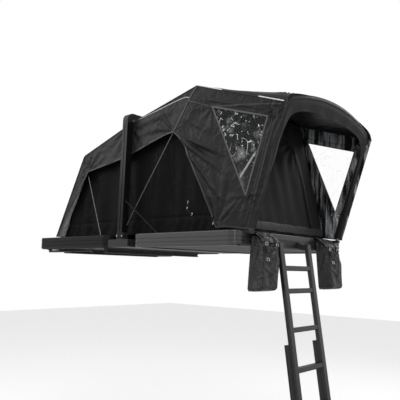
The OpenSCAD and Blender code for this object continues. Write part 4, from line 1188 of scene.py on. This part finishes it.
for word, side in SIDES:
    roof_edge = side_line(spaced(PROFILE, 160), side, 0.001, FLY_HALF)
    tube(f"{word}_roof_piping", roof_edge, ROOF_PIPE_R, "seam_tape", PIPE_UP)
    canopy_edge = side_line(spaced([RIDGE, CORNER], 60), side, 0.0012)
    tube(f"{word}_canopy_piping", canopy_edge, CANOPY_PIPE_R, "seam_tape", PIPE_UP)
    # Two stretches of the canopy's edge piping get a pale copy just outside it, as painted glints.
    glint_edge = canopy_edge + (0.0, side * 0.0012, 0.0012)
    for k, (a, b) in enumerate(GLINT_SPANS):
        tube(f"{word}_painted_glint_piping_{k}", glint_edge[a:b], CANOPY_PIPE_R, "piping_painted_glint",
             PIPE_UP)
    for part, (line, width, finish, off, half, count) in TAPES.items():
        line = side_line(spaced(line, count), side, off, half)
        strip(f"{word}_{part}", line, width, TAPE_THICK, finish, (0.0, side, 0.001))
print("bindings made")

# %% [markdown]
# The zip and the skirt of the door lie just outside the door wall. The door
# itself is a wide arch, closed by a zip that runs round it.

# %% Door details
SKIRT_WIDE, SKIRT_THICK, SKIRT_W = 0.060, 0.002, 0.125
ZIP_WIDE, ZIP_THICK = 0.022, 0.0024
DOOR_NORMAL = (float(DOOR_OUT[0]), 0.0, float(DOOR_OUT[1]))


def on_door(y, w, off):
    """A point on the door wall, a little outside it."""
    return np.stack([DOOR_AT[0] + w * DOOR_UP[0] + off * DOOR_OUT[0], y,
                     DOOR_AT[1] + w * DOOR_UP[1] + off * DOOR_OUT[1]], axis=-1)


skirt_y = np.linspace(-BODY_HALF + 0.03, BODY_HALF - 0.03, 80)
skirt_line = on_door(skirt_y, SKIRT_W + 0.002 * np.sin(30 * skirt_y), 0.012)
door_skirt = strip("door_skirt", skirt_line, SKIRT_WIDE, SKIRT_THICK, "skirt_cloth",
                   DOOR_NORMAL)
half_zip = np.array([(-0.42, 0.16), (-0.42, 0.60), (-0.36, 0.84), (-0.15, 0.93)])
zip_line = spaced(through(np.vstack([half_zip, (half_zip * (-1, 1))[::-1]]), 14), 160)
strip("door_zip", on_door(zip_line[:, 0], zip_line[:, 1], 0.010), ZIP_WIDE, ZIP_THICK, "webbing",
      DOOR_NORMAL)
print("door details made")

# %% [markdown]
# A shoe bag is a soft box that hangs from the shell and leans aside, away from
# the ladder. Its sections are rounded rectangles whose depth grows downwards,
# as the shoes' weight draws it out. Each section is a superellipse: the sum of
# both distances to the seventh power is one. Long creases run down its face
# from the corners that carry it.

# %% Shoe bags
BAG_SWING = 0.042
BAG_GIRTH = 0.62


def superellipse(count, power=7.0):
    """Points round a square with soft corners, two units wide."""
    c, s = circle(1.0, count).T
    size = (np.abs(c)**power + np.abs(s)**power) ** (-1 / power)
    return np.stack([c * size, s * size], axis=1)


def softened(t, knots, values, reach):
    """Values read off between knots and averaged over their neighbours, so that no corner is left."""
    line = np.pad(np.interp(t, knots, values), reach, "edge")
    return np.convolve(line, np.ones(2 * reach + 1) / (2 * reach + 1), "valid")


class Bag:
    """The bag's sizes at each share t of its height, for the skin and for all that is sewn on it."""

    def __init__(self, node, swing):
        self.low, self.high = local_box(node)
        self.drop = self.high.z - self.low.z
        self.half = (self.high.y - self.low.y - BAG_SWING) / 2
        self.swing = swing
        self.top_y = self.high.y - self.half if swing < 0 else self.low.y + self.half
        self.grid = (1 - np.cos(np.linspace(0, np.pi, 110))) / 2
        deep = softened(self.grid, [0, 0.03, 0.10, 0.27, 0.50, 0.92, 0.98, 1],
                        [0.25, 0.52, 0.72, 0.90, 0.98, 0.97, 0.86, 0.10], 3)
        self.depths = deep * (self.high.x - self.low.x)
        self.halves = self.half * softened(self.grid, [0, 0.02, 0.08, 0.6, 0.96, 1],
                                           [0.80, 0.92, 0.96, 0.975, 0.95, 0.72], 2)

    def on(self, t, across, off):
        """Points on the face: across from -1 to 1 over the width, off outwards."""
        t, across = np.broadcast_arrays(np.asarray(t, float), np.asarray(across, float))
        depth, half = np.interp(t, self.grid, self.depths), np.interp(t, self.grid, self.halves)
        y = self.top_y + self.swing * t + across * half
        return np.stack([self.low.x + depth + off, y, self.high.z - t * self.drop], axis=-1)

    def over_rim(self, across, end, off, count):
        """A line from the shell's top, over its rim and down the bag's face to the share end."""
        rim = [(SHELL_OUT - 0.035, SHELL_H + 0.0015), (SHELL_OUT + 0.004, SHELL_H + 0.0020),
               (SHELL_OUT + 0.034, SHELL_H - 0.006)]
        line = self.on(np.linspace(0.02, end, count), across, off)
        return spaced(np.vstack([[(x, line[0, 1], z) for x, z in rim], line]), count + 10)


def bag_crumple(t, y, bag):
    """Creases fan out from the top corners and cross in the middle, over slow dents."""
    q = -t * bag.drop
    p = y - bag.top_y - bag.swing * t
    lift = billow(p, q, 0.16, 0.0035, int(1000 * bag.half)) + billow(p, q, 0.06, 0.0012, 7)
    for side in (-1, 1):
        lift += all_folds(p * side, q, [((-bag.half, 0.0), 280, 350, 4, 0.22, 0.007, 0.7 + side)],
                          [((-0.085, -0.03), (0.030, -0.19), 0.009, 0.009),
                           ((-0.080, -0.20), (0.050, -0.27), 0.010, 0.005)])
    return lift + crease(p, q, (-0.02, -0.33), (0.06, -0.16), 0.010, 0.006)


def make_bag(name, bag, node, count=160):
    """Rounded rectangles stacked from the bag's top to its bottom, then creased outwards."""
    shape = superellipse(count)
    face, edge = shape[None, :, 0], shape[None, :, 1]
    t = bag.grid[:, None]
    x = bag.low.x + 0.0005 + bag.depths[:, None] / 2 * (1 + face)
    y = bag.top_y + bag.swing * t + bag.halves[:, None] * edge
    z = bag.high.z - 0.004 - t * (bag.drop - 0.008) + 0 * x
    fade = smooth_step((x - bag.low.x) / 0.04) * smooth_step(t / 0.06) * smooth_step((1 - t) / 0.05)
    face_lift = face.clip(0)**3 * (bag_crumple(t, y, bag) - 0.004)
    side_lift = billow(x, z, 0.11, 0.004, 9) - 0.004 + crease(
        x - bag.low.x, z, (0.10, 0.0), (0.03, -0.2), 0.010, 0.005)
    side_lift *= np.sign(edge) * np.abs(edge)**5
    points = np.stack([x + face_lift * fade, y + side_lift * fade, z], axis=-1)
    skin, faces = closed_rings(points)
    around = np.append(np.tile(np.arange(count) * BAG_GIRTH / count, len(bag.grid)), [0.3, 0.3])
    along = np.append(np.repeat(bag.grid * bag.drop, count), [0, bag.drop])
    uv = np.stack([around, along], axis=1)
    piece = outward(new_piece(name, skin, faces, ["bag_cloth"], uv))
    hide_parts(node)
    left, right = (points[6:-4, np.abs(shape - (0.9, a)).sum(axis=1).argmin()] for a in (-0.9, 0.9))
    return spaced(np.vstack([left, right[::-1]]), count)


# %% Flaps, straps and buckles of the bags
ACROSS_FACE = (1.0, 0.0, 0.3)
STRAPS = ((-0.62, 0.46), (0.62, 0.20))
STRAP_WIDE, STRAP_THICK, BAG_PIPE_R = 0.018, 0.0018, 0.0022


def make_flap(name, bag, rows=30, cols=50):
    """The bag's top flap, from the shell's rim down over the face, ending in a slightly curved hem."""
    v = np.linspace(-1.04, 1.04, cols)
    grid = np.stack([bag.over_rim(a, 0.13 + 0.02 * (1 - a * a), 0.004, rows - 10) for a in v], axis=1)
    grid[8:, :, 0] += 0.002 * np.sin(7 * v + 1.0)[None] * np.linspace(0, 1, rows - 8)[:, None]
    across, along = np.broadcast_arrays(v * bag.half, lengths(grid[:, cols // 2])[:, None])
    sewn_panel(name, grid, across, along, ["bag_cloth"],
               inside=(1.0, bag.top_y, -0.1), thickness=FLAP_THICK)


def make_buckle(name, at, wide=0.024, tall=0.017, wire=0.0016):
    """A rectangular wire ring that lies on the bag's face."""
    corners = [(0, -1), (1, -1), (1, 1), (-1, 1), (-1, -1), (0, -1)]
    line = rounded([(a * wide / 2, b * tall / 2) for a, b in corners], 0.003, 4)
    path = np.column_stack([np.full(len(line), at[0]), at[1] + line[:, 0], at[2] + line[:, 1]])
    tube(name, path, wire, "bright_metal", (1.0, 0.01, 0.02), sides=6)


for word, side in SIDES:
    node = f"shoe_bag_{word}"
    bag = Bag(node, side * BAG_SWING)
    piping = make_bag(f"{word}_shoe_bag", bag, node)
    make_flap(f"{word}_bag_flap", bag)
    tube(f"{word}_bag_piping", piping, BAG_PIPE_R, "webbing", (1.0, 0.02, 0.01), sides=6)
    for k, (across, end) in enumerate(STRAPS):
        strip(f"{word}_bag_strap_{k}", bag.over_rim(across, end, 0.0065, 50), STRAP_WIDE,
              STRAP_THICK, "webbing", ACROSS_FACE)
        make_buckle(f"{word}_bag_buckle_{k}", bag.on(end - 0.02, across, 0.009))
    make_buckle(f"{word}_bag_buckle_2", bag.on(0.17, STRAPS[0][0], 0.010))
pull = [(SHELL_OUT + 0.010, -0.352, z) for z in np.linspace(0.094, 0.040, 12)]
strip("bag_pull", pull, 0.009, 0.002, "bright_metal", (1.0, 0.0, 0.02))
print("shoe bags made")

# %% [markdown]
# Small hardware is what a maker buys in: bolts and hinge pins in plated steel,
# and moulded toggles on the guy points. They are cheap to turn or mould, so
# each is one round shape here, repeated.

# %% Bolts, pins, toggles and hooks
LADDER_PIVOT = (1.178, 0.010)
PIN_R, BOLT_R, HEAD_LONG = 0.0075, 0.0055, 0.005
TOGGLE_R, TOGGLE_LONG, LOOP_R, HOOK_R = 0.0035, 0.020, 0.0018, 0.0026
TOGGLES = [(0.608, 0.308), (0.600, 0.267), (0.648, 0.223), (0.837, 0.150)]
LOOP = [(0.600, 0.330), (0.612, 0.300), (0.596, 0.262), (0.640, 0.232), (0.655, 0.205)]
HOOK = [(0.283, 0.690), (0.300, 0.668), (0.306, 0.640), (0.292, 0.628), (0.282, 0.642),
        (0.290, 0.660)]


def round_bits(name, places, axis, radius, length, body="tent", sides=14):
    """Many short cylinders with a small chamfer, all along one axis, as one mesh."""
    axis = np.asarray(axis, float) / np.linalg.norm(axis)
    side = np.cross(axis, (0.0, 0.0, 1.0) if abs(axis[2]) < 0.9 else (1.0, 0.0, 0.0))
    side /= np.linalg.norm(side)
    wheel = circle(radius, sides) @ np.stack([side, np.cross(axis, side)])
    steps = np.array([(-0.5, 0.8), (-0.42, 1.0), (0.42, 1.0), (0.5, 0.8)])
    one, faces = closed_rings(steps[:, None, :1] * length * axis + steps[:, None, 1:] * wheel[None])
    points = (np.asarray(places, float)[:, None] + one[None]).reshape(-1, 3)
    faces = [[i + k * len(one) for i in f] for k in range(len(places)) for f in faces]
    uv = points[:, :2] + points[:, 2:3]
    outward(new_piece(name, points, faces, ["bright_metal"], uv, body))


def at_y(line, y):
    """A line in X and Z, placed at one Y."""
    return through([(x, y, z) for x, z in line], 8)


foot_low, foot_high = local_box("u_frame_feet")
rail_low, rail_high = local_box("ladder_upper_rails")
pins = [(LADDER_PIVOT[0], y, LADDER_PIVOT[1]) for y in (rail_low.y - 0.0005, rail_high.y + 0.0005)]
round_bits("ladder_pins", pins, (0, 1, 0), PIN_R, HEAD_LONG, "ladder_upper")
bolts = [(x, side * (foot_high.y + 0.0005), (foot_low.z + foot_high.z) / 2) for _, side in SIDES
         for x in (foot_low.x + 0.014, foot_high.x - 0.014)]
round_bits("foot_bolts", bolts, (0, 1, 0), BOLT_R, HEAD_LONG)
for word, side in SIDES:
    y = side * (BODY_HALF + 0.016)
    toggles = [(x, y, z) for x, z in TOGGLES]
    round_bits(f"{word}_toggles", toggles, (0.35, 0, 1), TOGGLE_R, TOGGLE_LONG)
    loop, hook = at_y(LOOP, y + side * 0.004), at_y(HOOK, y + side * 0.02)
    tube(f"{word}_toggle_loop", loop, LOOP_R, "webbing", sides=6)
    tube(f"{word}_rod_hook", hook, HOOK_R, "stay_metal", sides=6)
print("hardware made")

# %% [markdown]
# The light is plain: a pale world, which the camera and reflections see as
# white, three large soft lamps, and one narrow upright lamp near the camera
# that draws a soft line on round edges. The floor is white where the camera
# looks at it and still takes the tent's shadow.

# %% World, lamps and floor
AMBIENT = 0.55
FLOOR_HALF, FLOOR_GLOW = 14.0, 0.28
MIDDLE, SHELL_CORNER = (0.3, 0.0, 0.4), (0.93, -0.68, 0.05)
LAMPS = {  # place, what it faces, width, power, height as a share of the width
    "key": ((3.0, -2.6, 3.6), MIDDLE, 2.6, 90.0, 1.0),
    "fill": ((-2.6, -3.0, 2.4), MIDDLE, 2.6, 40.0, 1.0),
    "rim": ((1.0, 3.4, 3.0), MIDDLE, 2.4, 60.0, 1.0),
    "strip": ((4.0, -3.25, 0.4), SHELL_CORNER, 0.25, 8.0, 8.0),
}


def make_world():
    """A pale world: one for camera, glossy and transmission rays, and weaker for light."""
    world = bpy.data.worlds.new("world")
    world.use_nodes = True
    bpy.context.scene.world = world
    tree = world.node_tree
    rays = add(tree, "LightPath").outputs
    seen = calc(tree, "MAXIMUM", rays["Is Camera Ray"], rays["Is Glossy Ray"])
    seen = calc(tree, "MAXIMUM", seen, rays["Is Transmission Ray"])
    background = tree.nodes["Background"]
    background.inputs["Color"].default_value = (1, 1, 1, 1)
    strength = calc(tree, "MULTIPLY_ADD", seen, 1.0 - AMBIENT, AMBIENT)
    tree.links.new(strength, background.inputs["Strength"])


def make_lamp(name, at, aim, size, power, tall):
    """An area lamp that faces a point."""
    data = bpy.data.lights.new(name, "AREA")
    data.shape = "RECTANGLE"
    data.size, data.size_y = size, size * tall
    data.energy = power
    lamp = new_object(name, data)
    at, aim = Vector(place(at)), Vector(place(aim))
    turn = (aim - at).to_track_quat("-Z", "Y").to_matrix().to_4x4()
    lamp.matrix_world = Matrix.Translation(at) @ turn


def make_floor(half=FLOOR_HALF):
    """A wide square at the height of the ladder's feet."""
    z = cad_box[0][2] - UNDER_Z
    points = place([(-half, -half, z), (half, -half, z), (half, half, z), (-half, half, z)])
    mesh = bpy.data.meshes.new("floor")
    mesh.from_pydata(points.tolist(), [], [(0, 1, 2, 3)])
    tree, shader = start_material("floor", Base_Color=(0.9, 0.9, 0.9, 1.0), Roughness=0.9,
                                  Emission_Color=(1, 1, 1, 1))
    glow = calc(tree, "MULTIPLY", add(tree, "LightPath").outputs["Is Camera Ray"], FLOOR_GLOW)
    tree.links.new(glow, shader.inputs["Emission Strength"])
    mesh.materials.append(bpy.data.materials["floor"])
    new_object("floor", mesh)


make_world()
for name, lamp in LAMPS.items():
    make_lamp(name, *lamp)
make_floor()
print("lamps", len(LAMPS))

# %% View
bpy.context.scene.view_settings.view_transform = "Standard"
